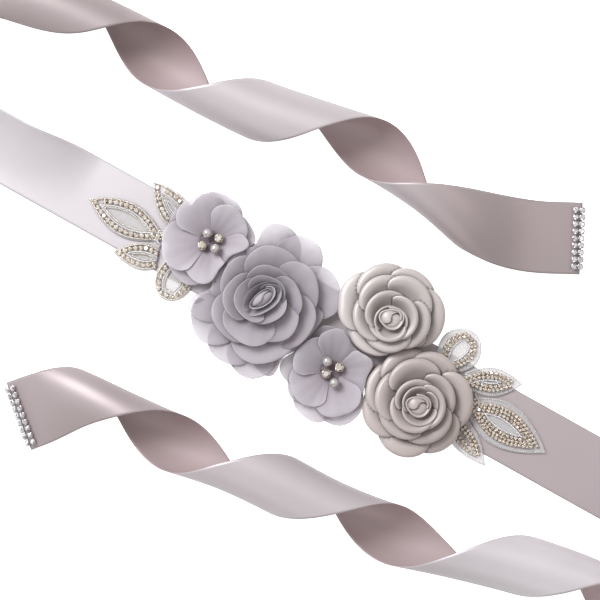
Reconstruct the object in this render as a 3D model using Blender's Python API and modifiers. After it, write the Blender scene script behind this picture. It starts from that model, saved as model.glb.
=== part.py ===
"""Bridal sash: one satin ribbon with a cluster of fabric flowers and beaded leaves.

Metres, +Z up.  The waist stretch of the ribbon lies along X on the ground plane.
The ribbon turns back at both ends over two soft diagonal folds and comes back as a
long loose curl that ends flat, with a crystal trim on its cut end.
"""

import math
from collections import namedtuple

import bmesh
import bpy
import numpy as np
from mathutils import Matrix, Vector

MM = 0.001

SHARP_ANGLE = math.radians(40)          # edges sharper than this stay sharp

# ribbon
RIBBON_WIDTH = 40.0 * MM
RIBBON_WALL = 1.0 * MM
GROUND_LEVEL = RIBBON_WALL / 2          # middle of a wall that lies on the ground
GAP = 0.3 * MM                          # between two pieces that touch
FOLD_RADIUS = 3.0 * MM                  # of a soft fold
FOLD_LEAD = 30.0 * MM                   # ribbon from a cut or a curl to the nearer fold
UPPER_TURN = -345.0 * MM                # where the ribbon turns back, along X
LOWER_TURN = 399.0 * MM
UPPER_RUN = 68.0 * MM                   # from the waist's middle to the returning tail's
LOWER_RUN = 57.1 * MM
TAIL_STEP = 8.4 * MM                    # between the sections of a tail
TAIL_CELLS = 5                          # across the ribbon
SETTLE_LENGTH = 5.5 * MM                # over which a tail's stations are blended
WAIST_ROLL = 0.7                        # angle its far edge rolls up to, in radians
WAIST_ROLL_RISE = (-300.0 * MM, -225.0 * MM)
WAIST_ROLL_FALL = (-182.0 * MM, -136.0 * MM)
WAIST_ROLL_STEPS = 5                    # sections in each of these two stretches
WAIST_CELLS = 6

# crystal trim on each cut end
TRIM_COLUMNS = 2
TRIM_ROWS = 9
TRIM_PITCH = 3.8 * MM
TRIM_OVERHANG = 1.6 * MM                # of the strip beyond the cut end
TRIM_GAP = 0.6 * MM                     # under the strip, which is stiffer than the ribbon
TRIM_SEAT = 0.8 * MM                    # thickness of the cups' strip
TRIM_CROWN = 1.3 * MM                   # height of a crystal over its strip

# beaded leaves
LEAF_BASE = RIBBON_WALL + GAP
LEAF_NET = 0.7 * MM                     # net backing
LEAF_CHAIN = 2.0 * MM                   # crystal chain, from the backing's underside
LEAF_TIP_WIDTH = 1.2 * MM
LEAF_SECTIONS = 8
# across a leaf, as shares of its half width and of the chain's height over the net
LEAF_PROFILE = [(-1.0, 0.5), (-0.8, 1.0), (-0.5, 0.0), (0.5, 0.0), (0.8, 1.0), (1.0, 0.5)]

# flowers
CHIFFON_WALL = 1.0 * MM
SATIN_WALL = 1.7 * MM
PETAL_ACROSS = 5
PETAL_ROOT = 1.6                        # in mm, from the hub's side inwards
ROLL_FROM = 0.6                         # share of a petal's length where its rim rolls down
HUB_SEGMENTS = 10
HEART_STEPS = 22
HEART_DROP = 2.0                        # in mm, from a heart's inner end to its outer end

# pearls and rhinestones
BEAD_SEAT = 9.2 * MM
PEARL_RADIUS = 2.8 * MM
PEARL_SEGMENTS = 10
PEARL_RINGS = 7
CUP_RADIUS = 2.6 * MM
STONE_SEGMENTS = 10
# radius and height from the stone's table down to the cup's foot
STONE_PROFILE = [(0.45 * CUP_RADIUS, 3.16 * MM), (CUP_RADIUS, 2.2 * MM),
                 (CUP_RADIUS, 1.1 * MM), (0.6 * CUP_RADIUS, 0.0)]

Finish = namedtuple("Finish", "red green blue roughness metallic")
Station = namedtuple("Station", "x y curl crest turn")
Leaf = namedtuple("Leaf", "name base_x base_y tip_x tip_y half_width widest base_share blunt")
Flower = namedtuple("Flower", "x y reach")
Cover = namedtuple("Cover", "upper lower radius")
Ring = namedtuple("Ring", "name shift_x shift_y hub_radius hub_low hub_high root_height "
                          "cells lobe tilt roll opening rise")
Petal = namedtuple("Petal", "azimuth spread rim_radius rim_height")
Heart = namedtuple("Heart", "flower x y radius axis narrow foot turns low high wall")

RIBBON = Finish(0.49, 0.43, 0.45, 0.35, 0.0)
CHIFFON = Finish(0.52, 0.49, 0.53, 0.70, 0.0)
PETAL_SATIN = Finish(0.50, 0.45, 0.44, 0.45, 0.0)
CHAIN = Finish(0.80, 0.74, 0.62, 0.25, 0.6)
CRYSTAL = Finish(0.85, 0.85, 0.87, 0.10, 0.5)
PEARL = Finish(0.72, 0.72, 0.74, 0.20, 0.0)

# Middle line of each curl, from the fold to the cut end: place in mm, curl in 1/mm,
# height of the crest in mm, and turns about the middle line.  The lower tail is given
# as it lies after half a turn of the whole sash about Z.
UPPER_STATIONS = [
    Station(-315.0, 68.0, 0.0004, 0.62, 0.00),
    Station(-290.0, 68.6, 0.0040, 3.5, 0.00),
    Station(-254.0, 72.5, 0.0230, 20.0, 0.00),
    Station(-212.0, 78.2, 0.0540, 33.0, 0.00),
    Station(-188.0, 80.6, 0.0603, 33.8, 0.08),
    Station(-167.8, 82.0, 0.0603, 33.8, 0.25),
    Station(-135.1, 83.4, 0.0603, 33.8, 0.50),
    Station(-102.6, 83.9, 0.0590, 34.4, 0.75),
    Station(-70.6, 85.6, 0.0603, 33.8, 1.00),
    Station(-37.9, 91.4, 0.0603, 33.8, 1.25),
    Station(-4.8, 97.2, 0.0603, 33.8, 1.50),
    Station(27.3, 96.4, 0.0594, 33.0, 1.75),
    Station(56.1, 93.2, 0.0450, 25.6, 1.95),
    Station(85.7, 96.2, 0.0090, 6.6, 2.00),
    Station(116.8, 111.0, 0.0010, 0.75, 2.00),
]
LOWER_STATIONS = [
    Station(-369.0, 57.1, 0.0004, 0.62, 0.00),
    Station(-330.0, 57.2, 0.0072, 5.6, 0.00),
    Station(-295.7, 56.7, 0.0324, 22.2, 0.05),
    Station(-268.3, 54.6, 0.0594, 33.6, 0.25),
    Station(-236.7, 54.4, 0.0603, 33.8, 0.50),
    Station(-208.3, 56.4, 0.0603, 33.8, 0.75),
    Station(-172.8, 62.8, 0.0603, 33.8, 1.00),
    Station(-136.8, 72.2, 0.0603, 33.8, 1.25),
    Station(-102.2, 82.6, 0.0603, 33.8, 1.50),
    Station(-69.5, 87.6, 0.0603, 33.8, 1.75),
    Station(-37.1, 88.4, 0.0603, 33.8, 2.00),
    Station(-4.9, 90.6, 0.0603, 33.8, 2.25),
    Station(27.2, 97.2, 0.0630, 32.4, 2.50),
    Station(57.7, 101.3, 0.0590, 33.6, 2.74),
    Station(81.3, 105.9, 0.0420, 27.0, 2.945),
    Station(96.7, 115.2, 0.0170, 13.4, 3.00),
    Station(107.6, 127.4, 0.0020, 1.0, 3.00),
]

# Leaves in mm: where along its length each is widest, how wide its base is as a share
# of that, and how blunt its tip is, from 0 for a point to 1 for a round end.
LEAVES = [
    Leaf("leaf_left_1", -85.0, -2.2, -132.6, -3.0, 10.2, 0.50, 0.10, 0.25),
    Leaf("leaf_left_2", -80.0, 10.8, -106.4, 23.2, 8.9, 0.30, 0.75, 0.10),
    Leaf("leaf_left_3", -83.0, -13.6, -107.2, -22.2, 8.0, 0.30, 0.75, 0.10),
    Leaf("leaf_left_4", -69.8, -8.0, -68.8, -31.6, 10.9, 0.50, 0.75, 1.00),
    Leaf("leaf_right_1", 84.0, 9.0, 91.5, 36.4, 12.0, 0.55, 0.30, 1.00),
    Leaf("leaf_right_2", 98.5, 11.0, 127.6, 24.3, 8.3, 0.45, 0.50, 0.25),
    Leaf("leaf_right_3", 107.0, 0.8, 157.6, -2.4, 12.6, 0.42, 0.30, 0.20),
    Leaf("leaf_right_4", 102.5, -12.0, 132.0, -25.4, 7.6, 0.35, 0.75, 0.05),
]

# Flowers: middle and greatest reach in mm.  Where one covers another, the petals of
# the upper keep inside the radius and the petals of the lower keep outside it.
FLOWERS = {
    "chiffon_rose": Flower(-20.3, -4.7, 41.5),
    "satin_rose_a": Flower(44.5, 24.5, 29.5),
    "satin_rose_b": Flower(81.0, -11.7, 32.0),
    "chiffon_flower_a": Flower(-61.7, 9.1, 28.0),
    "chiffon_flower_b": Flower(31.4, -21.0, 29.5),
}
COVER_GAP = 1.3                         # in mm
COVERS = [
    Cover("chiffon_rose", "chiffon_flower_a", 29.5),
    Cover("chiffon_rose", "chiffon_flower_b", 33.0),
    Cover("satin_rose_a", "chiffon_rose", 28.5),
    Cover("satin_rose_a", "chiffon_flower_b", 28.5),
    Cover("satin_rose_b", "chiffon_flower_b", 30.5),
    Cover("satin_rose_b", "satin_rose_a", 29.5),
]

# Rings of petals: lengths in mm, azimuths and spreads in degrees; lobe is how much of
# a petal's reach is lost at its sides, and roll how far its rim turns down.
CHIFFON_ROSE = [
    (Ring("outer", 0.0, 0.0, 9.0, 1.3, 6.6, 4.6, 2, 0.70, 1.4, 1.2, 1.0, 1.3), [
        Petal(109, 36, 43.0, 8.8), Petal(79, 31, 42.8, 8.4), Petal(35, 36, 43.2, 8.4),
        Petal(-7, 34, 40.0, 8.4), Petal(-46, 33, 44.0, 8.0), Petal(-72, 33, 43.6, 8.0),
        Petal(-98, 33, 41.4, 8.4), Petal(-130, 34, 42.4, 9.1), Petal(-155, 33, 42.6, 8.8),
        Petal(174, 34, 39.8, 8.8), Petal(143, 34, 36.0, 8.8)]),
    (Ring("second", 0.0, 0.0, 9.0, 6.9, 10.6, 8.8, 3, 0.68, 1.6, 1.6, 1.0, 1.2), [
        Petal(104, 50, 31.5, 15.8), Petal(45, 50, 32.5, 15.3), Petal(-8, 49, 33.0, 15.1),
        Petal(-61, 50, 36.5, 13.8), Petal(-118, 50, 31.0, 15.3), Petal(165, 50, 28.5, 15.8)]),
    (Ring("third", 0.0, -0.5, 8.0, 10.9, 14.2, 12.5, 3, 0.62, 1.5, 1.4, 1.0, 1.1), [
        Petal(104, 58, 20.5, 20.8), Petal(33, 58, 22.0, 20.3), Petal(-32, 54, 25.0, 18.8),
        Petal(-92, 56, 27.0, 18.4), Petal(-164, 58, 22.5, 20.4)]),
    (Ring("inner", -0.8, 0.4, 6.5, 14.5, 17.4, 16.0, 3, 0.45, 1.3, 0.6, 1.1, 0.9), [
        Petal(88, 84, 13.5, 24.0), Petal(-28, 84, 14.5, 22.5), Petal(-140, 84, 15.5, 23.0)]),
]
SATIN_ROSE_A = [
    (Ring("outer", 0.0, 0.0, 9.0, 1.3, 7.6, 5.0, 3, 0.50, 1.9, 5.0, 0.9, 1.2), [
        Petal(192, 46, 30.8, 12.4), Petal(138, 46, 26.9, 12.4), Petal(72, 50, 26.4, 12.4),
        Petal(14, 50, 29.6, 12.2), Petal(-46, 48, 27.0, 12.2), Petal(-106, 48, 27.5, 12.2)]),
    (Ring("middle", 0.3, -1.8, 8.0, 7.9, 12.6, 10.0, 3, 0.56, 1.9, 5.0, 0.9, 1.2), [
        Petal(146, 54, 22.5, 18.6), Petal(70, 56, 24.5, 18.2), Petal(0, 56, 23.0, 18.4),
        Petal(-73, 56, 21.5, 18.2), Petal(-142, 56, 21.5, 18.4)]),
    (Ring("inner", 1.0, -3.6, 7.4, 13.1, 17.0, 15.2, 3, 0.42, 1.3, 4.0, 0.9, 1.2), [
        Petal(30, 84, 15.0, 23.2), Petal(-92, 84, 13.5, 22.6), Petal(150, 84, 15.5, 23.2)]),
]
SATIN_ROSE_B = [
    (Ring("outer", 0.0, 0.0, 9.0, 1.3, 7.6, 5.0, 3, 0.62, 1.9, 5.0, 0.9, 1.2), [
        Petal(140, 44, 29.5, 12.4), Petal(186, 44, 30.0, 12.4), Petal(-134, 42, 31.4, 12.2),
        Petal(-82, 42, 32.2, 12.2), Petal(-33, 44, 30.6, 12.4), Petal(27, 50, 30.5, 12.4),
        Petal(88, 46, 28.5, 12.2)]),
    (Ring("middle", 0.2, -0.6, 8.0, 7.9, 12.6, 10.0, 3, 0.56, 1.9, 5.0, 0.9, 1.2), [
        Petal(128, 54, 24.5, 18.2), Petal(190, 54, 24.5, 18.6), Petal(-108, 56, 23.5, 18.2),
        Petal(-38, 56, 24.0, 18.2), Petal(45, 58, 21.0, 18.6)]),
    (Ring("inner", 0.6, -2.2, 7.4, 13.1, 17.0, 15.2, 3, 0.42, 1.3, 4.0, 0.9, 1.2), [
        Petal(135, 84, 14.5, 23.2), Petal(18, 84, 15.5, 23.2), Petal(-102, 84, 16.0, 22.8)]),
]
CHIFFON_FLOWER_A = [
    (Ring("lower", 0.0, 0.0, 7.0, 1.3, 5.6, 4.4, 2, 0.55, 0.8, 0.8, 1.0, 1.2), [
        Petal(38, 50, 24.6, 6.4), Petal(107, 48, 27.6, 6.4), Petal(179, 48, 26.0, 6.4),
        Petal(-109, 48, 27.5, 6.4), Petal(-37, 48, 25.5, 6.4)]),
    (Ring("upper", 0.0, 0.0, 7.0, 5.9, 8.8, 7.9, 2, 0.50, 1.0, 1.2, 1.0, 1.1), [
        Petal(71, 46, 23.6, 11.2), Petal(139, 46, 27.6, 11.2), Petal(-145, 46, 28.0, 10.8),
        Petal(-73, 46, 24.0, 11.2), Petal(-1, 46, 24.0, 11.2)]),
]
CHIFFON_FLOWER_B = [
    (Ring("lower", 0.0, 0.0, 7.0, 1.3, 5.6, 4.4, 2, 0.55, 0.8, 0.8, 1.0, 1.2), [
        Petal(-10, 48, 27.0, 6.4), Petal(62, 48, 25.5, 6.4), Petal(128, 48, 25.5, 6.4),
        Petal(-170, 42, 29.2, 6.4), Petal(-124, 38, 26.0, 6.4), Petal(-88, 38, 29.6, 6.4),
        Petal(-46, 40, 30.2, 6.4)]),
    (Ring("upper", 0.0, 0.0, 7.0, 5.9, 8.8, 7.9, 2, 0.50, 1.0, 1.2, 1.0, 1.1), [
        Petal(26, 46, 25.0, 11.2), Petal(98, 46, 25.0, 11.7), Petal(170, 46, 23.5, 11.2),
        Petal(-118, 46, 25.0, 10.7), Petal(-46, 46, 26.0, 10.7)]),
]

# Wound hearts: middle and greatest radius in mm, long axis in degrees, narrowness,
# share of that radius at the foot, turns, and heights and wall in mm.
HEARTS = [
    Heart("chiffon_rose", -21.2, -4.2, 6.6, 18.0, 0.70, 0.55, 1.3, 18.0, 25.5, 1.0),
    Heart("satin_rose_a", 45.6, 20.6, 6.4, 20.0, 0.85, 0.56, 1.5, 17.7, 22.4, 1.3),
    Heart("satin_rose_b", 81.6, -14.0, 6.4, 15.0, 0.85, 0.56, 1.5, 17.7, 22.4, 1.3),
]

# Middles of the pearls and rhinestones in mm.
PEARLS = [(-65.3, 12.4), (-57.4, 7.0), (26.8, -17.2), (35.9, -25.5)]
RHINESTONES = [(-64.6, 5.0), (-58.4, 13.0), (29.5, -23.3), (34.2, -16.8)]


def clear_scene():
    """Remove every object that is already in the file."""
    for item in list(bpy.data.objects):
        bpy.data.objects.remove(item, do_unlink=True)


def new_collection(name, hidden):
    """Make a collection in the scene; a hidden one holds cutters and helpers."""
    group = bpy.data.collections.new(name)
    group.hide_render = hidden
    bpy.context.scene.collection.children.link(group)
    return group


def make_material(name, finish):
    """Make a piece's own Principled material."""
    material = bpy.data.materials.new(name)
    material.use_nodes = True
    shader = material.node_tree.nodes["Principled BSDF"]
    shader.inputs["Base Color"].default_value = (finish.red, finish.green, finish.blue, 1.0)
    shader.inputs["Roughness"].default_value = finish.roughness
    shader.inputs["Metallic"].default_value = finish.metallic
    return material


def add_object(name, shape, finish, group, place=(0, 0, 0), turned=0.0):
    """Turn a bmesh into a named object at its place, and free the bmesh."""
    mesh = bpy.data.meshes.new(name)
    shape.to_mesh(mesh)
    shape.free()
    mesh.shade_smooth()
    mesh.set_sharp_from_angle(angle=SHARP_ANGLE)
    mesh.materials.append(make_material(name, finish))
    thing = bpy.data.objects.new(name, mesh)
    thing.location = place
    thing.rotation_euler = (0, 0, turned)
    group.objects.link(thing)
    return thing


def sheet(rows):
    """Make an open surface through rows of points."""
    down = len(rows) - 1
    across = len(rows[0]) - 1
    shape = bmesh.new()
    bmesh.ops.create_grid(shape, x_segments=across, y_segments=down, size=1.0)
    for vertex in shape.verts:
        i = round((vertex.co.x + 1) / 2 * across)
        j = round((vertex.co.y + 1) / 2 * down)
        vertex.co = rows[j][i]
    return shape


def add_wall(name, rows, wall, finish, group, place=(0, 0, 0), turned=0.0):
    """Make a cloth wall whose middle surface runs through the rows."""
    thing = add_object(name, sheet(rows), finish, group, place, turned)
    solidify = thing.modifiers.new("wall", "SOLIDIFY")
    solidify.thickness = wall
    solidify.offset = 0.0
    return thing


# ---------------------------------------------------------------- ribbon


def tangents(table, along):
    """Slopes of the station columns, held back where a column would overshoot."""
    steps = np.diff(table, axis=0) / np.diff(along)[:, None]
    slopes = np.vstack([steps[:1], steps[:1].repeat(len(table) - 2, 0), steps[-1:]])
    for k in range(1, len(table) - 1):
        before = along[k] - along[k - 1]
        after = along[k + 1] - along[k]
        mean = (steps[k - 1] * after + steps[k] * before) / (before + after)
        limit = 3 * np.minimum(abs(steps[k - 1]), abs(steps[k]))
        held = np.sign(mean) * np.minimum(abs(mean), limit)
        held[steps[k - 1] * steps[k] <= 0] = 0.0
        slopes[k] = np.concatenate([mean[:2], held[2:]])
    return slopes


def blend(values, reach):
    """Smooth the columns of an evenly spaced table over a few of its rows."""
    offsets = np.arange(-3 * reach, 3 * reach + 1)
    weights = np.exp(-0.5 * (offsets / reach) ** 2)
    weights /= weights.sum()
    steps = np.arange(1, 3 * reach + 1)[:, None]
    before = values[0] - steps[::-1] * (values[1] - values[0])
    after = values[-1] + steps * (values[-1] - values[-2])
    padded = np.vstack([before, values, after])
    columns = [np.convolve(column, weights, "valid") for column in padded.T]
    return np.array(columns).T


class Curl:
    """A ribbon wound on a cylinder whose middle line, radius and height change."""

    FINE = 1.0 * MM

    def __init__(self, stations):
        table = np.array([(s.x * MM, s.y * MM, s.curl / MM, s.crest * MM, s.turn * math.tau)
                          for s in stations])
        along = np.concatenate([[0], np.cumsum(np.hypot(*np.diff(table[:, :2], axis=0).T))])
        slopes = tangents(table, along)
        count = round(along[-1] / self.FINE)
        places = np.linspace(0, along[-1], count + 1)
        k = np.clip(np.searchsorted(along, places) - 1, 0, len(along) - 2)
        length = (along[k + 1] - along[k])[:, None]
        t = (places - along[k])[:, None] / length
        values = ((2 * t ** 3 - 3 * t ** 2 + 1) * table[k] + (3 * t ** 2 - 2 * t ** 3) * table[k + 1]
                  + (t ** 3 - 2 * t ** 2 + t) * length * slopes[k]
                  + (t ** 3 - t ** 2) * length * slopes[k + 1])
        self.values = blend(values, round(SETTLE_LENGTH / self.FINE))
        self.slopes = np.gradient(self.values, places, axis=0)
        heading = np.hypot(self.slopes[:, 0], self.slopes[:, 1])
        self.lean = np.arctan2(self.slopes[:, 4] / self.values[:, 2], heading)
        pace = heading / np.cos(self.lean)
        self.travel = np.concatenate([[0], np.cumsum((pace[1:] + pace[:-1]) / 2 * np.diff(places))])

    @property
    def length(self):
        """Length of ribbon in the curl."""
        return self.travel[-1]

    def point(self, s, v):
        """Point at ribbon length s and v across, v positive to the left of travel."""
        x, y, curl, crest, turn = (np.interp(s, self.travel, c) for c in self.values.T)
        along_x = np.interp(s, self.travel, self.slopes[:, 0])
        along_y = np.interp(s, self.travel, self.slopes[:, 1])
        lean = np.interp(s, self.travel, self.lean)
        forward = Vector((along_x, along_y, 0)).normalized()
        left = Vector((-forward.y, forward.x, 0))
        angle = turn + v * math.cos(lean) * curl
        height = max(crest - (1 - math.cos(angle)) / curl, GROUND_LEVEL)
        middle = Vector((x, y, height))
        return middle - forward * v * math.sin(lean) + left * math.sin(angle) / curl


def fold_over(point, corner, crease, beyond):
    """Fold the plane up and over along a crease; beyond points to the moving side."""
    offset = Vector((point.x - corner.x, point.y - corner.y, 0))
    u = offset.dot(beyond)
    along = offset.dot(crease)
    start = -math.pi * FOLD_RADIUS / 2
    lift = point.z - GROUND_LEVEL
    angle = (u - start) / FOLD_RADIUS
    if angle <= 0:
        return point
    if angle >= math.pi:
        u = -u
        lift = 2 * FOLD_RADIUS - lift
    else:
        u = start + (FOLD_RADIUS - lift) * math.sin(angle)
        lift = FOLD_RADIUS - (FOLD_RADIUS - lift) * math.cos(angle)
    moved = corner + crease * along + beyond * u
    return Vector((moved.x, moved.y, GROUND_LEVEL + lift))


def slant(s, run):
    """How far a section of the folded stretch slants, so that it follows the creases."""
    half_fold = math.pi * FOLD_RADIUS / math.sqrt(2)
    first = FOLD_LEAD
    second = FOLD_LEAD + run
    places = [0, first - half_fold, first + half_fold, second - half_fold, second + half_fold,
              second + FOLD_LEAD]
    return float(np.interp(s, places, [0, -1, -1, 1, 1, 0]))


class Tail:
    """A tail of the ribbon: two folds that turn it back, then its curl."""

    def __init__(self, turn_x, run, stations):
        self.turn = Vector((turn_x, 0, 0))
        self.run = run
        self.folded = 2 * FOLD_LEAD + run
        self.curl = Curl(stations)
        self.length = self.folded + self.curl.length

    def folded_point(self, s, v):
        """Point of the folded stretch, on a plain strip that is then folded twice."""
        s += slant(s, self.run) * v
        flat = Vector((self.turn.x + FOLD_LEAD - s, -v, GROUND_LEVEL))
        diagonal = math.sqrt(0.5)
        far_corner = self.turn - Vector((self.run, 0, 0))
        rising = Vector((diagonal, diagonal, 0))
        falling = Vector((-diagonal, diagonal, 0))
        once = fold_over(flat, far_corner, rising, falling)
        return fold_over(once, self.turn, falling, -rising)

    def point(self, s, v):
        """Point at ribbon length s from the waist and v across; straight on beyond the end."""
        if s < self.folded:
            return self.folded_point(s, v)
        if s <= self.length:
            return self.curl.point(s - self.folded, v)
        end = self.curl.point(self.curl.length, v)
        ahead = (end - self.curl.point(self.curl.length - MM, v)).normalized()
        return end + ahead * (s - self.length)

    def normal(self, s, v):
        """Outward normal of the ribbon's face."""
        step = 0.5 * MM
        s = min(max(s, step), self.length - step)
        along = self.point(s + step, v) - self.point(s - step, v)
        across = self.point(s, v + step) - self.point(s, v - step)
        return along.cross(across).normalized()

    def sections(self):
        """Rows of points of the whole tail."""
        half_fold = math.pi * FOLD_RADIUS / math.sqrt(2)
        places = {0.0, self.folded}
        for corner in (FOLD_LEAD, FOLD_LEAD + self.run):
            places.update(corner + half_fold * k / 3 for k in range(-3, 4))
        places.add(FOLD_LEAD + self.run / 2)
        count = round(self.curl.length / TAIL_STEP)
        places.update(self.folded + self.curl.length * k / count for k in range(1, count + 1))
        half = RIBBON_WIDTH / 2
        return [[self.point(s, half * (2 * k / TAIL_CELLS - 1)) for k in range(TAIL_CELLS + 1)]
                for s in sorted(places)]


def smooth_step(x, low, high):
    """Rise from 0 at low to 1 at high."""
    t = min(max((x - low) / (high - low), 0.0), 1.0)
    return t * t * (3 - 2 * t)


def waist_point(x, far):
    """Middle of the waist's wall; far runs from 0 at the near edge to 1 at the far one."""
    roll = WAIST_ROLL * (smooth_step(x, *WAIST_ROLL_RISE) - smooth_step(x, *WAIST_ROLL_FALL))
    if roll < 0.001:
        return Vector((x, RIBBON_WIDTH * (far - 0.5), GROUND_LEVEL))
    radius = RIBBON_WIDTH / roll
    angle = roll * far
    y = -RIBBON_WIDTH / 2 + radius * math.sin(angle)
    return Vector((x, y, GROUND_LEVEL + radius * (1 - math.cos(angle))))


def add_waist(finish, group):
    """The stretch of ribbon that goes round the waist."""
    low = UPPER_TURN + FOLD_LEAD + GAP
    high = LOWER_TURN - FOLD_LEAD - GAP
    places = [low, high]
    for start, end in (WAIST_ROLL_RISE, WAIST_ROLL_FALL):
        places += [start + (end - start) * k / WAIST_ROLL_STEPS for k in range(WAIST_ROLL_STEPS + 1)]
    rows = [[waist_point(x, k / WAIST_CELLS) for k in range(WAIST_CELLS + 1)]
            for x in sorted(places)]
    return add_wall("ribbon_waist", rows, RIBBON_WALL, finish, group)


def add_tail(name, tail, turned, finish, group):
    """One tail of the ribbon."""
    return add_wall(name, tail.sections(), RIBBON_WALL, finish, group, turned=turned)


def add_trim(name, tail, turned, finish, group):
    """Crystals in two columns on the cut end, raised from the ribbon's own surface."""
    base = RIBBON_WALL / 2 + TRIM_GAP
    half = TRIM_PITCH * TRIM_ROWS / 2
    end = tail.length + TRIM_OVERHANG
    strip = []
    for column in range(TRIM_COLUMNS + 1):
        s = end - TRIM_PITCH * (TRIM_COLUMNS - column)
        strip.append([tail.point(s, v) + tail.normal(s, v) * base
                      for v in (half * (2 * k / TRIM_ROWS - 1) for k in range(TRIM_ROWS + 1))])
    shape = sheet(strip)
    bmesh.ops.recalc_face_normals(shape, faces=shape.faces)
    if sum(face.normal.z for face in shape.faces) < 0:
        bmesh.ops.reverse_faces(shape, faces=shape.faces)
    tops = list(shape.faces)
    lifted = bmesh.ops.extrude_face_region(shape, geom=tops, use_keep_orig=True)
    top_faces = [part for part in lifted["geom"] if isinstance(part, bmesh.types.BMFace)]
    top_points = [part for part in lifted["geom"] if isinstance(part, bmesh.types.BMVert)]
    up = tail.normal(end, 0.0)
    bmesh.ops.translate(shape, verts=top_points, vec=up * TRIM_SEAT)
    bmesh.ops.reverse_faces(shape, faces=tops)
    bmesh.ops.poke(shape, faces=top_faces, offset=TRIM_CROWN)
    bmesh.ops.recalc_face_normals(shape, faces=shape.faces)
    return add_object(name, shape, finish, group, turned=turned)


# ---------------------------------------------------------------- leaves


def leaf_swell(leaf, t):
    """Width of a leaf at t along it, as a share of its greatest width."""
    if t < leaf.widest:
        rise = math.sin(math.pi / 2 * t / leaf.widest)
        return leaf.base_share + (1 - leaf.base_share) * rise
    fall = math.cos(math.pi / 2 * (t - leaf.widest) / (1 - leaf.widest))
    return fall ** (1.0 - 0.5 * leaf.blunt)


def add_leaf(leaf, finish, group):
    """A flat leaf: net backing with a raised chain round its edge."""
    base = Vector((leaf.base_x, leaf.base_y, 0)) * MM
    along = Vector((leaf.tip_x, leaf.tip_y, 0)) * MM - base
    ridge = LEAF_CHAIN - LEAF_NET
    rows = []
    for k in range(LEAF_SECTIONS + 1):
        t = 0.5 - 0.5 * math.cos(math.pi * k / LEAF_SECTIONS)
        swell = leaf_swell(leaf, t)
        width = max(leaf.half_width * MM * swell, LEAF_TIP_WIDTH)
        rim = 1.0 if 1 <= k < LEAF_SECTIONS else 0.5
        rows.append([Vector((along.length * t, width * across,
                             LEAF_NET + ridge * max(high, 1 - swell) * rim))
                     for across, high in LEAF_PROFILE])
    shape = sheet(rows)
    if sum(face.normal.z for face in shape.faces) < 0:
        bmesh.ops.reverse_faces(shape, faces=shape.faces)
    tops = list(shape.faces)
    dropped = bmesh.ops.extrude_face_region(shape, geom=tops, use_keep_orig=True)
    for part in dropped["geom"]:
        if isinstance(part, bmesh.types.BMVert):
            part.co.z = 0.0
    flat = [part for part in dropped["geom"] if isinstance(part, bmesh.types.BMFace)]
    bmesh.ops.dissolve_faces(shape, faces=flat)
    bmesh.ops.recalc_face_normals(shape, faces=shape.faces)
    place = base + Vector((0, 0, LEAF_BASE))
    return add_object(leaf.name, shape, finish, group, place, math.atan2(along.y, along.x))


# ---------------------------------------------------------------- flowers


def ray_to_circle(start, azimuth, middle, radius):
    """Distance from start to a circle along a direction, or infinity."""
    direction = Vector((math.cos(azimuth), math.sin(azimuth)))
    offset = Vector(start) - Vector(middle)
    b = offset.dot(direction)
    inside = b * b - offset.length_squared + radius * radius
    if inside < 0 or -b - math.sqrt(inside) < 0:
        return math.inf
    return -b - math.sqrt(inside)


def free_reach(name, azimuth):
    """How far a flower's petals may reach in a direction, in mm."""
    flower = FLOWERS[name]
    reach = math.inf
    for cover in COVERS:
        if cover.upper == name:
            other = FLOWERS[cover.lower]
            ray = ray_to_circle((flower.x, flower.y), azimuth, (other.x, other.y), other.reach + COVER_GAP)
            reach = min(reach, max(cover.radius, ray))
        if cover.lower == name:
            other = FLOWERS[cover.upper]
            ray = ray_to_circle((flower.x, flower.y), azimuth, (other.x, other.y), cover.radius + COVER_GAP)
            reach = min(reach, ray)
    return reach


def petal_rows(name, ring, petal):
    """Rows of points of one petal, from its root in the hub to its rounded rim."""
    root = ring.hub_radius - PETAL_ROOT
    rows = []
    for j in range(ring.cells + 1):
        up = math.sin(math.pi / 2 * j / ring.cells)
        rolled = max(up - ROLL_FROM, 0) / (1 - ROLL_FROM)
        row = []
        for i in range(PETAL_ACROSS + 1):
            across = math.sin(math.pi / 2 * (2 * i / PETAL_ACROSS - 1))
            azimuth = math.radians(petal.azimuth + across * petal.spread)
            rim = min(petal.rim_radius, free_reach(name, azimuth))
            crown = math.sqrt(max(1 - across ** 2, 0))
            reach = up * (1 - ring.lobe + ring.lobe * crown)
            radius = root + (rim - root) * reach ** ring.opening
            height = ring.root_height + (petal.rim_height - ring.root_height) * reach ** ring.rise
            height += ring.tilt * across * min(reach * 2, 1)
            height -= ring.roll * crown * (1 - math.sqrt(1 - rolled ** 2))
            row.append(Vector((radius * math.cos(azimuth), radius * math.sin(azimuth), height)) * MM)
        rows.append(row)
    return rows


def evaluated_mesh(thing):
    """Mesh of an object with its modifiers applied."""
    graph = bpy.context.evaluated_depsgraph_get()
    return bpy.data.meshes.new_from_object(thing.evaluated_get(graph))


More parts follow.
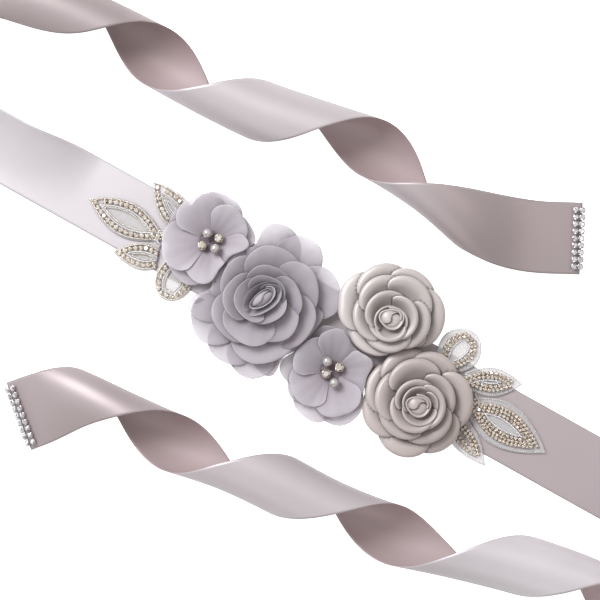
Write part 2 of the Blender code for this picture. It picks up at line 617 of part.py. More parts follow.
def add_ring(name, ring, petals, wall, finish, group, helpers):
    """One ring of petals, grown together with the hub that carries them."""
    flower = FLOWERS[name]
    place = Vector((flower.x + ring.shift_x, flower.y + ring.shift_y, 0)) * MM
    joined = bmesh.new()
    for petal in petals:
        blade = add_wall("petal", petal_rows(name, ring, petal), wall, finish, helpers)
        bpy.context.view_layer.update()
        mesh = evaluated_mesh(blade)
        joined.from_mesh(mesh)
        bpy.data.meshes.remove(mesh)
        bpy.data.objects.remove(blade, do_unlink=True)
    blades = add_object(name + "_" + ring.name + "_petals", joined, finish, helpers, place)
    blades.hide_render = True
    blades.display_type = "WIRE"
    middle = Vector((0, 0, (ring.hub_low + ring.hub_high) / 2)) * MM
    shape = bmesh.new()
    bmesh.ops.create_cone(shape, cap_ends=True, segments=HUB_SEGMENTS, radius1=ring.hub_radius * MM,
                          radius2=ring.hub_radius * MM, depth=(ring.hub_high - ring.hub_low) * MM,
                          matrix=Matrix.Translation(middle))
    thing = add_object(name + "_" + ring.name, shape, finish, group, place)
    union = thing.modifiers.new("petals", "BOOLEAN")
    union.operation = "UNION"
    union.solver = "EXACT"
    union.use_self = True
    union.object = blades
    return thing


def add_heart(heart, finish, group):
    """The wound heart of a rose: one strip in a long spiral, lower towards its outer end."""
    axis = math.radians(heart.axis)
    along = Vector((math.cos(axis), math.sin(axis), 0))
    side = Vector((-along.y, along.x, 0)) * heart.narrow
    rows = []
    for k in range(HEART_STEPS + 1):
        t = k / HEART_STEPS
        turn = math.tau * heart.turns * t
        outward = (along * math.cos(turn) + side * math.sin(turn)) * heart.radius * (0.2 + 0.8 * t)
        high = heart.high - HEART_DROP * t
        rows.append([(outward * heart.foot + Vector((0, 0, heart.low))) * MM,
                     (outward + Vector((0, 0, high))) * MM])
    place = Vector((heart.x, heart.y, 0)) * MM
    return add_wall(heart.flower + "_heart", rows, heart.wall * MM, finish, group, place)


def add_pearl(name, place, finish, group):
    """A round pearl."""
    shape = bmesh.new()
    bmesh.ops.create_uvsphere(shape, u_segments=PEARL_SEGMENTS, v_segments=PEARL_RINGS,
                              radius=PEARL_RADIUS, matrix=Matrix.Translation((0, 0, PEARL_RADIUS)))
    return add_object(name, shape, finish, group, place)


def add_rhinestone(name, place, finish, group):
    """A cut stone in its cup: a profile turned about the stone's own axis."""
    shape = bmesh.new()
    rings = []
    for radius, height in STONE_PROFILE:
        made = bmesh.ops.create_circle(shape, segments=STONE_SEGMENTS, radius=radius,
                                       matrix=Matrix.Translation((0, 0, height)))
        rings.append([edge for edge in shape.edges if all(v in made["verts"] for v in edge.verts)])
    for upper, lower in zip(rings, rings[1:]):
        bmesh.ops.bridge_loops(shape, edges=upper + lower)
    bmesh.ops.holes_fill(shape, edges=rings[0] + rings[-1], sides=STONE_SEGMENTS)
    bmesh.ops.recalc_face_normals(shape, faces=shape.faces)
    return add_object(name, shape, finish, group, place)


def build_sash():
    """Build every piece of the sash."""
    clear_scene()
    group = new_collection("bridal_sash", hidden=False)
    helpers = new_collection("helpers", hidden=True)
    tails = (
        ("upper", Tail(UPPER_TURN, UPPER_RUN, UPPER_STATIONS), 0.0),
        ("lower", Tail(-LOWER_TURN, LOWER_RUN, LOWER_STATIONS), math.pi),
    )
    add_waist(RIBBON, group)
    for side, tail, turned in tails:
        add_tail("ribbon_tail_" + side, tail, turned, RIBBON, group)
        add_trim("end_trim_" + side, tail, turned, CRYSTAL, group)
    for leaf in LEAVES:
        add_leaf(leaf, CHAIN, group)
    flowers = (
        ("chiffon_rose", CHIFFON_ROSE, CHIFFON_WALL, CHIFFON),
        ("chiffon_flower_a", CHIFFON_FLOWER_A, CHIFFON_WALL, CHIFFON),
        ("chiffon_flower_b", CHIFFON_FLOWER_B, CHIFFON_WALL, CHIFFON),
        ("satin_rose_a", SATIN_ROSE_A, SATIN_WALL, PETAL_SATIN),
        ("satin_rose_b", SATIN_ROSE_B, SATIN_WALL, PETAL_SATIN),
    )
    for name, rings, wall, finish in flowers:
        for ring, petals in rings:
            add_ring(name, ring, petals, wall, finish, group, helpers)
    for heart in HEARTS:
        add_heart(heart, CHIFFON if heart.flower == "chiffon_rose" else PETAL_SATIN, group)
    for k, (x, y) in enumerate(PEARLS, 1):
        add_pearl(f"pearl_{k}", (x * MM, y * MM, BEAD_SEAT), PEARL, group)
    for k, (x, y) in enumerate(RHINESTONES, 1):
        add_rhinestone(f"rhinestone_{k}", (x * MM, y * MM, BEAD_SEAT), CRYSTAL, group)


build_sash()
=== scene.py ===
"""Bridal sash: satin ribbon, fabric roses, chiffon flowers, beaded leaves and crystal trims.

Metres, +Z up.  The waist ribbon lies along X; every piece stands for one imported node.
"""

import logging
import math
from dataclasses import dataclass, field, replace
from enum import Enum
from functools import cached_property

import bmesh
import bpy
import numpy as np
from mathutils import Matrix, Vector


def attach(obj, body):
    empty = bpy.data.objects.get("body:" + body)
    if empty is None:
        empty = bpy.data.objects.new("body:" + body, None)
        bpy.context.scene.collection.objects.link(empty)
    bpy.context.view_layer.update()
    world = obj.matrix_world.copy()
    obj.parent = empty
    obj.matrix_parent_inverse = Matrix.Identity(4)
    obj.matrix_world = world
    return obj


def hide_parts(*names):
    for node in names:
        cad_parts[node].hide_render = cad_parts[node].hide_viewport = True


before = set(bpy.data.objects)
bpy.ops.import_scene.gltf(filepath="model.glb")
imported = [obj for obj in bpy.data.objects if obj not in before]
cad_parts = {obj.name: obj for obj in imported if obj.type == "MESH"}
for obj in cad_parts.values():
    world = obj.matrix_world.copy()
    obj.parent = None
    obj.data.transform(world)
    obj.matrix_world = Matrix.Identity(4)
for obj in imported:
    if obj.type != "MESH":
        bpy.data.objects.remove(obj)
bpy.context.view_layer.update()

Socket = bpy.types.NodeSocket
Tree = bpy.types.NodeTree
Material = bpy.types.Material
Piece = bpy.types.Object
Colour = tuple[float, float, float]
Fed = Socket | Tree | float | str | tuple    # what a node's input or property takes
Numbers = np.ndarray | float                 # one number or an array of them

MM = 0.001
UP = np.array([0.0, 0.0, 1.0])
GROUND_LEVEL = 0.5 * MM                 # middle of a ribbon that lies on the ground
RIBBON_WIDTH = 40.0 * MM
RIBBON_CLOTH = 0.4 * MM                 # thickness of the ribbon
RIBBON_CELLS = 28                       # faces across the ribbon
FOLD_RADIUS = 3.0 * MM
FOLD_LEAD = 30.0 * MM                   # ribbon before the first fold and after the second
UPPER_TURN = -345.0 * MM                # where the ribbon turns back at each end
LOWER_TURN = 399.0 * MM
LEAF_BASE = 1.3 * MM                    # underside of the leaves' net
THREAD_DEPTH = 0.03 * MM
CLEAR_OF_EDGES = 9.0                    # edge distance, in mm, of points with no edge near
MARKS = "marks"                         # three numbers that a piece's points carry
WEAVE = "woven_threads"                 # the two node groups that the finishes share
MOTTLE = "slow_mottle"

log = logging.getLogger("bridal_sash")


# ---------------------------------------------------------------- node graphs


def srgb(red: float, green: float, blue: float) -> tuple[float, float, float, float]:
    """Turn display values from 0 to 1 into linear light, with full alpha."""
    return tuple(((c + 0.055) / 1.055) ** 2.4 if c > 0.04045 else c / 12.92
                 for c in (red, green, blue)) + (1.0,)


class Graph:
    """Short calls for adding and joining nodes of one tree."""

    def __init__(self, tree: Tree) -> None:
        """Hold the tree that nodes go into."""
        self.tree = tree

    def feed(self, node: bpy.types.Node, **inputs: Fed) -> None:
        """Fill a node's inputs with values or with other nodes' outputs.

        Args:
            node: the node.
            inputs: input names with "_" for spaces, or "i0", "i1" for numbered ones.
        """
        for name, value in inputs.items():
            numbered = name[0] == "i" and name[1:].isdigit()
            spot = node.inputs[int(name[1:]) if numbered else name.replace("_", " ")]
            if isinstance(value, Socket):
                self.tree.links.new(value, spot)
            else:
                spot.default_value = value

    def add(self, kind: str, **inputs: Fed) -> bpy.types.Node:
        """Add a node.

        Args:
            kind: node type without its "ShaderNode" prefix.
            inputs: what feed takes; a name that is a property of the node is set as such.

        Returns:
            The node.
        """
        node = self.tree.nodes.new("ShaderNode" + kind)
        for name in [name for name in inputs if hasattr(node, name)]:
            setattr(node, name, inputs.pop(name))
        self.feed(node, **inputs)
        return node

    def math(self, operation: str, first: Fed, second: Fed = 0.0) -> Socket:
        """Add a math node and return its output."""
        return self.add("Math", operation=operation, i0=first, i1=second).outputs[0]

    def product(self, first: Fed, second: Fed) -> Socket:
        """Multiply two numbers."""
        return self.math("MULTIPLY", first, second)

    def ramp(self, value: Socket, low: float, high: float) -> Socket:
        """Rise smoothly from 0 to 1 while the value goes from low to high."""
        return self.add("MapRange", interpolation_type="SMOOTHSTEP", Value=value, From_Min=low,
                        From_Max=high).outputs["Result"]

    def spread(self, value: Socket, low: Fed, high: Fed) -> Socket:
        """Go from low to high while the value goes from 0 to 1."""
        return self.add("MapRange", Value=value, To_Min=low, To_Max=high).outputs["Result"]

    def mix(self, share: Socket, first: Fed, second: Fed) -> Socket:
        """Mix two colours."""
        return self.add("Mix", data_type="RGBA", i0=share, i6=first, i7=second).outputs[2]

    def scaled(self, colour: Fed, gain: Socket) -> Socket:
        """Multiply a colour, given as a socket or as four numbers, by a number."""
        colour = colour if isinstance(colour, Socket) else colour[:3]
        return self.add("VectorMath", operation="SCALE", i0=colour, Scale=gain).outputs[0]


def new_group(name: str, inputs: dict[str, float | tuple], outputs: tuple[str, ...]
              ) -> tuple[Graph, bpy.types.Node, bpy.types.Node]:
    """Make an empty node group.

    Args:
        name: the group's name.
        inputs: each input's name and default; a tuple of three is a vector.
        outputs: the names of its outputs, which are numbers.

    Returns:
        A Graph on the group's tree, and the nodes for its inputs and outputs.
    """
    tree = bpy.data.node_groups.new(name, "ShaderNodeTree")
    for key, value in inputs.items():
        kind = "NodeSocketVector" if isinstance(value, tuple) else "NodeSocketFloat"
        tree.interface.new_socket(name=key, in_out="INPUT", socket_type=kind).default_value = value
    for key in outputs:
        tree.interface.new_socket(name=key, in_out="OUTPUT", socket_type="NodeSocketFloat")
    return Graph(tree), tree.nodes.new("NodeGroupInput"), tree.nodes.new("NodeGroupOutput")


def make_weave() -> None:
    """Make the group for the threads of a woven cloth: their height and how they shade it."""
    graph, given, made = new_group(
        WEAVE, {"Place": (0.0, 0.0, 0.0), "Across Scale": 3000.0, "Along Scale": 3000.0},
        ("Height", "Shade"))
    across, along = given.outputs["Across Scale"], given.outputs["Along Scale"]
    scale = graph.add("CombineXYZ", X=across, Y=along, Z=across).outputs[0]
    place = graph.add("VectorMath", operation="MULTIPLY", i0=given.outputs["Place"],
                      i1=scale).outputs[0]
    noise = graph.add("TexNoise", Vector=place, Scale=1.0, Detail=2.0,
                      Roughness=0.6).outputs["Fac"]
    parts = graph.add("SeparateXYZ", Vector=place).outputs
    warp = graph.math("SINE", graph.product(parts[0], math.tau))
    weft = graph.math("SINE", graph.product(parts[1], math.tau))
    height = graph.math("ADD", graph.product(graph.product(warp, weft), 0.25), noise)
    graph.feed(made, Height=height, Shade=noise)


def make_mottle() -> None:
    """Make the group for the slow change of colour over a piece, from handling and dye."""
    graph, given, made = new_group(
        MOTTLE, {"Place": (0.0, 0.0, 0.0), "Scale": 40.0, "Low": 0.92, "High": 1.04},
        ("Gain",))
    noise = graph.add("TexNoise", Vector=given.outputs["Place"], Scale=given.outputs["Scale"],
                      Detail=3.0, Roughness=0.5).outputs["Fac"]
    gain = graph.add("MapRange", Value=noise, From_Min=0.3, From_Max=0.7,
                     To_Min=given.outputs["Low"], To_Max=given.outputs["High"])
    graph.feed(made, Gain=gain.outputs["Result"])


class Coat(Graph):
    """The graph of a new material, with its one shader."""

    def __init__(self, name: str) -> None:
        """Make the material.

        Args:
            name: the material's name.
        """
        self.material = bpy.data.materials.new(name)
        self.material.use_nodes = True
        super().__init__(self.material.node_tree)
        self.shader = self.tree.nodes["Principled BSDF"]

    @cached_property
    def place(self) -> Socket:
        """Place on the piece."""
        return self.add("TexCoord").outputs["Object"]

    def dress(self, **sockets: Fed) -> None:
        """Fill the shader's sockets."""
        self.feed(self.shader, **sockets)

    @cached_property
    def marks(self) -> list[Socket]:
        """The three marks that each point carries."""
        carried = self.add("Attribute", attribute_name=MARKS).outputs["Vector"]
        return list(self.add("SeparateXYZ", Vector=carried).outputs)

    def mottled(self, scale: float, low: float, high: float) -> Socket:
        """Gain of the slow mottle, between two values."""
        return self.add("Group", node_tree=bpy.data.node_groups[MOTTLE], Place=self.place,
                        Scale=scale, Low=low, High=high).outputs["Gain"]

    def bumped(self, height: Socket, distance: float, strength: float) -> Socket:
        """Normal of a surface with a height on it."""
        return self.add("Bump", Height=height, Distance=distance,
                        Strength=strength).outputs["Normal"]


# ---------------------------------------------------------------- finishes


@dataclass(frozen=True)
class Finish:
    """How a surface is finished; each kind has its own way to coat it."""

    name: str
    colour: Colour

    def material(self) -> Material:
        """Make the finish's material.

        Returns:
            The material.
        """
        coat = Coat(self.name)
        self.apply(coat)
        return coat.material

    def apply(self, coat: Coat) -> None:
        """Fill the sockets of the coat's shader."""
        raise NotImplementedError


@dataclass(frozen=True)
class ClothFinish(Finish):
    """Woven cloth; its points carry a tone, with painted light and shade, as their third mark."""

    # Below: a petal's lighter cut edge and the ribbon's painted lit colour, then painted shade.
    edge_and_lit_colour: Colour
    painted_shade_colour: Colour
    roughness: float
    across_scale: float                 # threads in a metre
    along_scale: float
    sheen: float = 0.2
    metallic: float = 0.0               # share of light that the threads mirror
    mottle: float = 0.05
    thread_contrast: float = 0.04
    mottle_scale: float = 38.0
    bump_strength: float = 0.6
    roughness_spread: float = 0.05

    def threads(self, coat: Coat) -> Socket:
        """Where the threads are laid out."""
        return coat.place

    def tinted(self, coat: Coat) -> Socket:
        """Colour of the cloth before its threads and tone."""
        raise NotImplementedError

    def apply(self, coat: Coat) -> None:
        """Coat the cloth: threads, mottle and the tone, which holds painted light and shade, over
        its tint.

        Args:
            coat: the material's graph.
        """
        weave = coat.add("Group", node_tree=bpy.data.node_groups[WEAVE],
                         Place=self.threads(coat), Across_Scale=self.across_scale,
                         Along_Scale=self.along_scale).outputs
        mottle = coat.mottled(self.mottle_scale, 1.0 - self.mottle, 1.0 + self.mottle)
        shade = coat.spread(weave["Shade"], 1.0 - self.thread_contrast, 1.0 + self.thread_contrast)
        gain = coat.product(coat.product(mottle, shade), coat.marks[2])
        coat.dress(Base_Color=coat.scaled(self.tinted(coat), gain),
                   Roughness=coat.spread(weave["Shade"], self.roughness - self.roughness_spread,
                                         self.roughness + self.roughness_spread),
                   Normal=coat.bumped(weave["Height"], THREAD_DEPTH, self.bump_strength),
                   Sheen_Weight=self.sheen, Sheen_Roughness=0.4, Metallic=self.metallic)


@dataclass(frozen=True)
class RibbonFinish(ClothFinish):
    """Satin ribbon: its first two marks are the places across and along it.

    High tone turns it to a cool painted lit colour, low tone to a warm painted shade colour.
    """

    # tone ranges where the painted lit colour and the painted shade colour come in
    lit: tuple[float, float] = (1.0, 1.16)
    dim: tuple[float, float] = (1.1, 0.75)

    def threads(self, coat: Coat) -> Socket:
        """Lay the threads along the ribbon."""
        return coat.add("CombineXYZ", X=coat.marks[0], Y=coat.marks[1]).outputs[0]

    def tinted(self, coat: Coat) -> Socket:
        """Paint light and shade into the ribbon's colour by its tone.

        Args:
            coat: the material's graph.

        Returns:
            The colour.
        """
        lit = coat.ramp(coat.marks[2], *self.lit)
        light = coat.mix(lit, srgb(*self.colour), srgb(*self.edge_and_lit_colour))
        return coat.mix(coat.ramp(coat.marks[2], *self.dim), light, srgb(*self.painted_shade_colour))


@dataclass(frozen=True)
class PetalFinish(ClothFinish):
    """Petal cloth: first two marks are edge distance in mm and painted shade, from 0 to 1."""

    edge_width: float = 0.8             # in mm
    alpha: float = 1.0                  # of one layer
    rim_alpha: float = 1.0
    # alpha where the painted shade is full, so shaded cloth shows denser
    alpha_in_painted_shade: float = 0.9

    def tinted(self, coat: Coat) -> Socket:
        """Tint the petal at its edge, paint shade into its hollows, and thin it where it is sheer.

        Args:
            coat: the material's graph.

        Returns:
            The colour.
        """
        edge = coat.ramp(coat.marks[0], self.edge_width, 0.0)
        if self.alpha < 1.0:
            dense = coat.product(coat.marks[1], self.alpha_in_painted_shade - self.alpha)
            rimmed = coat.product(edge, self.rim_alpha - self.alpha)
            coat.dress(Alpha=coat.math("ADD", coat.math("MAXIMUM", dense, rimmed), self.alpha))
        shown = coat.mix(edge, srgb(*self.colour), srgb(*self.edge_and_lit_colour))
        return coat.mix(coat.marks[1], shown, srgb(*self.painted_shade_colour))


@dataclass(frozen=True)
class StoneFinish(Finish):
    """Cut glass with foil back; each facet's third mark paints it from dark reflection to glint.
    """

    # colours of the facets' painted dark reflections and painted glints
    dark: Colour
    light: Colour
    metallic: float = 0.55
    roughness: float = 0.08

    def apply(self, coat: Coat) -> None:
        """Coat the stone in its three painted tones, from dark reflection to glint.

        Args:
            coat: the material's graph.
        """
        tone = coat.marks[2]
        lower = coat.mix(coat.ramp(tone, 0.0, 0.5), srgb(*self.dark), srgb(*self.colour))
        whole = coat.mix(coat.ramp(tone, 0.5, 1.0), lower, srgb(*self.light))
        coat.dress(Base_Color=coat.scaled(whole, coat.mottled(900.0, 0.8, 1.15)),
                   Metallic=self.metallic, Roughness=self.roughness, Coat_Weight=0.8,
                   Coat_Roughness=0.03)


@dataclass(frozen=True)
class MetalFinish(Finish):
    """Plated metal of cups, prongs and bead linings."""

    roughness: float = 0.25
    metallic: float = 0.9

    def apply(self, coat: Coat) -> None:
        """Coat the metal, a little uneven in colour and gloss.

        Args:
            coat: the material's graph.
        """
        gain = coat.mottled(1500.0, 0.85, 1.1)
        coat.dress(Base_Color=coat.scaled(srgb(*self.colour), gain), Metallic=self.metallic,
                   Roughness=coat.product(gain, self.roughness))


@dataclass(frozen=True)
class NetFinish(Finish):
    """Fine stiff net that shows what lies under it."""

    cover: float                        # how much a hole's place is still covered
    pitch: float = 0.7 * MM

    def apply(self, coat: Coat) -> None:
        """Coat the net: crossed threads with holes between them.

        Args:
            coat: the material's graph.
        """
        parts = coat.add("SeparateXYZ", Vector=coat.place).outputs
        crossed = []
        for operation in ("ADD", "SUBTRACT"):
            slanted = coat.math(operation, parts[0], parts[1])
            wave = coat.math("SINE", coat.product(slanted, math.pi / self.pitch))
            crossed.append(coat.math("ABSOLUTE", wave))
        hole = coat.ramp(coat.math("MINIMUM", *crossed), 0.25, 0.55)
        alpha = coat.math("SUBTRACT", 1.0, coat.product(hole, 1.0 - self.cover))
        gain = coat.mottled(400.0, 0.93, 1.03)
        coat.dress(Alpha=alpha, Base_Color=coat.scaled(srgb(*self.colour), gain),
                   Normal=coat.bumped(alpha, 0.1 * MM, 0.5), Roughness=0.6, Sheen_Weight=0.2)


@dataclass(frozen=True)
class PearlFinish(Finish):
    """Pearl, painted darker towards its rim as seen: painted shade for its lustre."""

    # colour at the rim as seen: painted shade
    rim: Colour

    def apply(self, coat: Coat) -> None:
        """Coat the pearl.

        Args:
            coat: the material's graph.
        """
        facing = coat.add("LayerWeight", Blend=0.45).outputs["Facing"]
        lustre = coat.mix(facing, srgb(*self.colour), srgb(*self.rim))
        coat.dress(Base_Color=coat.scaled(lustre, coat.mottled(500.0, 0.94, 1.05)),
                   Roughness=0.22, Metallic=0.25, Coat_Weight=0.7, Coat_Roughness=0.08)


# petal satin: colour, lighter cut edge, near-black painted shade between petals
PETAL_SATIN = PetalFinish("petal_satin", (0.79, 0.755, 0.742), (0.83, 0.80, 0.795),
                          (0.27, 0.20, 0.195), 0.45, 3600.0, 3600.0, metallic=0.15, mottle=0.03)
FINISHES = {
    # ribbon: colour, painted lit colour for high tone, painted shade colour for low tone
    "ribbon": RibbonFinish("ribbon_satin", (0.765, 0.725, 0.735), (0.762, 0.735, 0.748),
                           (0.762, 0.700, 0.703), 0.48, 5200.0, 700.0, sheen=0.1,
                           metallic=0.34, mottle=0.015),
    # duller reverse side, coloured darker and warmer as painted shade inside the curls
    "back": RibbonFinish("shaded_ribbon_back", (0.706, 0.630, 0.632), (0.72, 0.66, 0.665),
                         (0.706, 0.622, 0.622), 0.5, 5200.0, 700.0, sheen=0.1, metallic=0.2,
                         mottle=0.015),
    # chiffon: colour, lighter fused edge, painted shade between petals
    "chiffon": PetalFinish("sheer_chiffon", (0.795, 0.764, 0.788), (0.86, 0.845, 0.865),
                           (0.43, 0.365, 0.41), 0.75, 4200.0, 4200.0, sheen=0.3, mottle=0.06,
                           edge_width=0.45, alpha=0.54, rim_alpha=0.70),
    "satin": PETAL_SATIN,
    # darker, warmer copy of the petal satin: painted shade for rose B
    "shaded_satin": replace(PETAL_SATIN, name="shaded_petal_satin", colour=(0.755, 0.708, 0.692),
                          edge_and_lit_colour=(0.80, 0.76, 0.748), painted_shade_colour=(0.27, 0.19, 0.18)),
    # stones: colour, then painted dark reflection and painted glint
    "champagne": StoneFinish("champagne_crystal", (0.94, 0.88, 0.81), (0.48, 0.39, 0.34),
                             (1.0, 0.99, 0.97)),
    "clear": StoneFinish("clear_crystal", (0.86, 0.83, 0.86), (0.50, 0.46, 0.48),
                         (1.0, 1.0, 1.0)),
    "cup": MetalFinish("pale_gold_cup", (0.87, 0.81, 0.75)),
    "steel": MetalFinish("silver_cup", (0.80, 0.78, 0.79)),
    "bead": MetalFinish("silver_lined_bead", (0.90, 0.87, 0.84), 0.16, 0.7),
    "clear_bead": MetalFinish("clear_seed_bead", (0.90, 0.89, 0.90), 0.2, 0.25),
    "net": NetFinish("stiff_net", (0.875, 0.855, 0.855), cover=0.3),
    "pearl": PearlFinish("grey_pearl", (0.77, 0.745, 0.73), (0.46, 0.43, 0.44))}


# ---------------------------------------------------------------- mesh building


def grid_faces(down: int, across: int, closed: bool) -> list[tuple[int, ...]]:
    """List the faces between rows of points.

    Args:
        down: how many rows.
        across: how many points in a row.
        closed: whether the last point of a row joins the first.

    Returns:
        Indexes of each face's corners.
    """
    return [(j * across + i, j * across + (i + 1) % across,
             (j + 1) * across + (i + 1) % across, (j + 1) * across + i)
            for j in range(down - 1) for i in range(across if closed else across - 1)]


class MeshSketch:
    """Collects the faces of one piece, with three marks at each point."""

    def __init__(self) -> None:
        """Start with nothing drawn."""
        self.points: list[np.ndarray] = []
        self.marks: list[np.ndarray] = []
        self.faces: list[tuple[int, ...]] = []
        self.slots: list[int] = []
        self.smooth: list[bool] = []
        self.count = 0

    def add(self, points: np.ndarray, faces: list, marks: Numbers = 1.0, slot: int = 0,
            smooth: bool = True) -> None:
        """Add points and the faces between them.

        Args:
            points: rows of x, y, z.
            faces: tuples of indexes into these points.
            marks: rows of three marks, or one tone for all.
            slot: material slot of the faces.
            smooth: whether the faces are shaded smooth.
        """
        if np.ndim(marks) < 2:
            marks = np.tile(np.array([CLEAR_OF_EDGES, 0.0, float(marks)]), (len(points), 1))
        self.points.append(points)
        self.marks.append(marks.reshape(-1, 3))
        self.faces += [tuple(int(k) + self.count for k in face) for face in faces]
        self.slots += [slot] * len(faces)
        self.smooth += [smooth] * len(faces)
        self.count += len(points)

    def add_grid(self, rows: np.ndarray, marks: Numbers = 1.0, slot: int = 0,
                 closed: bool = False) -> None:
        """Add a surface through rows of points; a closed one joins each row's two ends."""
        faces = grid_faces(rows.shape[0], rows.shape[1], closed)
        self.add(rows.reshape(-1, 3), faces, marks, slot)

    def build(self, name: str, materials: list[Material], weld: float = 0.0) -> Piece:
        """Make the object.

        Args:
            name: the object's name.
            materials: one for each slot.
            weld: points closer than this become one.

        Returns:
            The object, linked to the scene.
        """
        mesh = bpy.data.meshes.new(name)
        mesh.from_pydata(np.vstack(self.points).tolist(), [], self.faces)
        mesh.attributes.new(MARKS, "FLOAT_VECTOR", "POINT").data.foreach_set(
            "vector", np.vstack(self.marks).ravel())
        mesh.polygons.foreach_set("material_index", self.slots)
        mesh.polygons.foreach_set("use_smooth", self.smooth)
        for material in materials:
            mesh.materials.append(material)
        if weld:
            shape = bmesh.new()
            shape.from_mesh(mesh)
            bmesh.ops.remove_doubles(shape, verts=shape.verts, dist=weld)
            shape.to_mesh(mesh)
            shape.free()
        thing = bpy.data.objects.new(name, mesh)
        bpy.context.scene.collection.objects.link(thing)
        return thing


def unit(vectors: np.ndarray) -> np.ndarray:
    """Scale vectors to length one."""
    return vectors / np.maximum(np.linalg.norm(vectors, axis=-1, keepdims=True), 1e-12)


def smooth(share: Numbers) -> Numbers:
    """Ease a share from 0 to 1 in and out."""
    return share * share * (3 - 2 * share)


def path_length(points: np.ndarray) -> float:
    """Length of a path through points."""
    return float(np.linalg.norm(np.diff(points, axis=0), axis=1).sum())


def name_seed(name: str) -> np.random.Generator:
    """Random source that is always the same for a name."""
    return np.random.default_rng(sum(ord(letter) for letter in name))


def turned_template(profile: tuple[tuple[float, float], ...], segments: int, radius: float,
                    height: float) -> tuple:
    """Points and faces of a profile turned about Z.

    Args:
        profile: radius and height from one end to the other, as shares.
        segments: steps round the axis.
        radius: what the profile's radii are shares of.
        height: what its heights are shares of.

    Returns:
        The points and the faces.
    """
    angles = np.arange(segments) * math.tau / segments
    rings = [np.stack([r * radius * np.cos(angles), r * radius * np.sin(angles),
                       np.full(segments, z * height)], 1) for r, z in profile]
    return np.vstack(rings), grid_faces(len(profile), segments, True)


def add_wall(thing: Piece, wall: float) -> None:
    """Give a surface the thickness of its cloth; a second material goes on its back.

    Args:
        thing: the piece.
        wall: the cloth's thickness.
    """
    solid = thing.modifiers.new("cloth", "SOLIDIFY")
    solid.thickness = wall
    solid.offset = 0.0
    solid.material_offset = len(thing.data.materials) - 1


def settle(thing: Piece, slot: str, *nodes: str) -> Piece:
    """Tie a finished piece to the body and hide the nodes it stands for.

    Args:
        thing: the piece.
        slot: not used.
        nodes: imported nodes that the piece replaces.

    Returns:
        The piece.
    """
    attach(thing, "root")
    if nodes:
        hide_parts(*nodes)
    log.info("%s: %d faces", thing.name, len(thing.data.polygons))
    return thing


# ---------------------------------------------------------------- ribbon


@dataclass(frozen=True)
class Station:
    """Where a curl's middle line runs: mm, curl in 1/mm, crest in mm, whole turns."""

    x: float
    y: float
    curl: float
    crest: float
    turn: float


UPPER_STATIONS = [Station(*row) for row in (
    (-315.0, 68.0, 0.0004, 0.62, 0.00), (-290.0, 68.6, 0.0040, 3.5, 0.00),
    (-254.0, 72.5, 0.0230, 20.0, 0.00), (-212.0, 78.2, 0.0540, 33.0, 0.00),
    (-188.0, 80.6, 0.0603, 33.8, 0.08), (-167.8, 82.0, 0.0603, 33.8, 0.25),
    (-135.1, 83.4, 0.0603, 33.8, 0.50), (-102.6, 83.9, 0.0590, 34.4, 0.75),
    (-70.6, 85.6, 0.0603, 33.8, 1.00), (-37.9, 91.4, 0.0603, 33.8, 1.25),
    (-4.8, 97.2, 0.0603, 33.8, 1.50), (27.3, 96.4, 0.0594, 33.0, 1.75),
    (56.1, 93.2, 0.0450, 25.6, 1.95), (85.7, 96.2, 0.0090, 6.6, 2.00),
    (116.8, 111.0, 0.0010, 0.75, 2.00))]
LOWER_STATIONS = [Station(*row) for row in (
    (-369.0, 57.1, 0.0004, 0.62, 0.00), (-330.0, 57.2, 0.0072, 5.6, 0.00),
    (-295.7, 56.7, 0.0324, 22.2, 0.05), (-268.3, 54.6, 0.0594, 33.6, 0.25),
    (-236.7, 54.4, 0.0603, 33.8, 0.50), (-208.3, 56.4, 0.0603, 33.8, 0.75),
    (-172.8, 62.8, 0.0603, 33.8, 1.00), (-136.8, 72.2, 0.0603, 33.8, 1.25),
    (-102.2, 82.6, 0.0603, 33.8, 1.50), (-69.5, 87.6, 0.0603, 33.8, 1.75),
    (-37.1, 88.4, 0.0603, 33.8, 2.00), (-4.9, 90.6, 0.0603, 33.8, 2.25),
    (27.2, 97.2, 0.0630, 32.4, 2.50), (57.7, 101.3, 0.0590, 33.6, 2.74),
    (81.3, 105.9, 0.0420, 27.0, 2.945), (96.7, 115.2, 0.0170, 13.4, 3.00),
    (107.6, 127.4, 0.0020, 1.0, 3.00))]


def tangents(table: np.ndarray, along: np.ndarray) -> np.ndarray:
    """Slopes of the station columns, held back where a column would overshoot.

    Args:
        table: one row for each station; its first two columns, x and y, aren't held back.
        along: place of each station along the middle line.

    Returns:
        The slopes, in the shape of the table.
    """
    steps = np.diff(table, axis=0) / np.diff(along)[:, None]
    slopes = np.vstack([steps[:1], steps])
    for k in range(1, len(steps)):
        before, after = along[k] - along[k - 1], along[k + 1] - along[k]
        mean = (steps[k - 1] * after + steps[k] * before) / (before + after)
        limit = 3 * np.minimum(abs(steps[k - 1]), abs(steps[k]))
        held = np.sign(mean) * np.minimum(abs(mean), limit)
        held[steps[k - 1] * steps[k] <= 0] = 0.0
        slopes[k] = np.concatenate([mean[:2], held[2:]])
    return slopes


def blend(values: np.ndarray, reach: int) -> np.ndarray:
    """Smooth the columns of an evenly spaced table.

    Args:
        values: the table.
        reach: over how many rows.

    Returns:
        The smooth table.
    """
    offsets = np.arange(-3 * reach, 3 * reach + 1)
    weights = np.exp(-0.5 * (offsets / reach) ** 2)
    weights /= weights.sum()
    steps = np.arange(1, 3 * reach + 1)[:, None]
    before = values[0] - steps[::-1] * (values[1] - values[0])
    after = values[-1] + steps * (values[-1] - values[-2])
    padded = np.vstack([before, values, after])
    return np.array([np.convolve(column, weights, "valid") for column in padded.T]).T


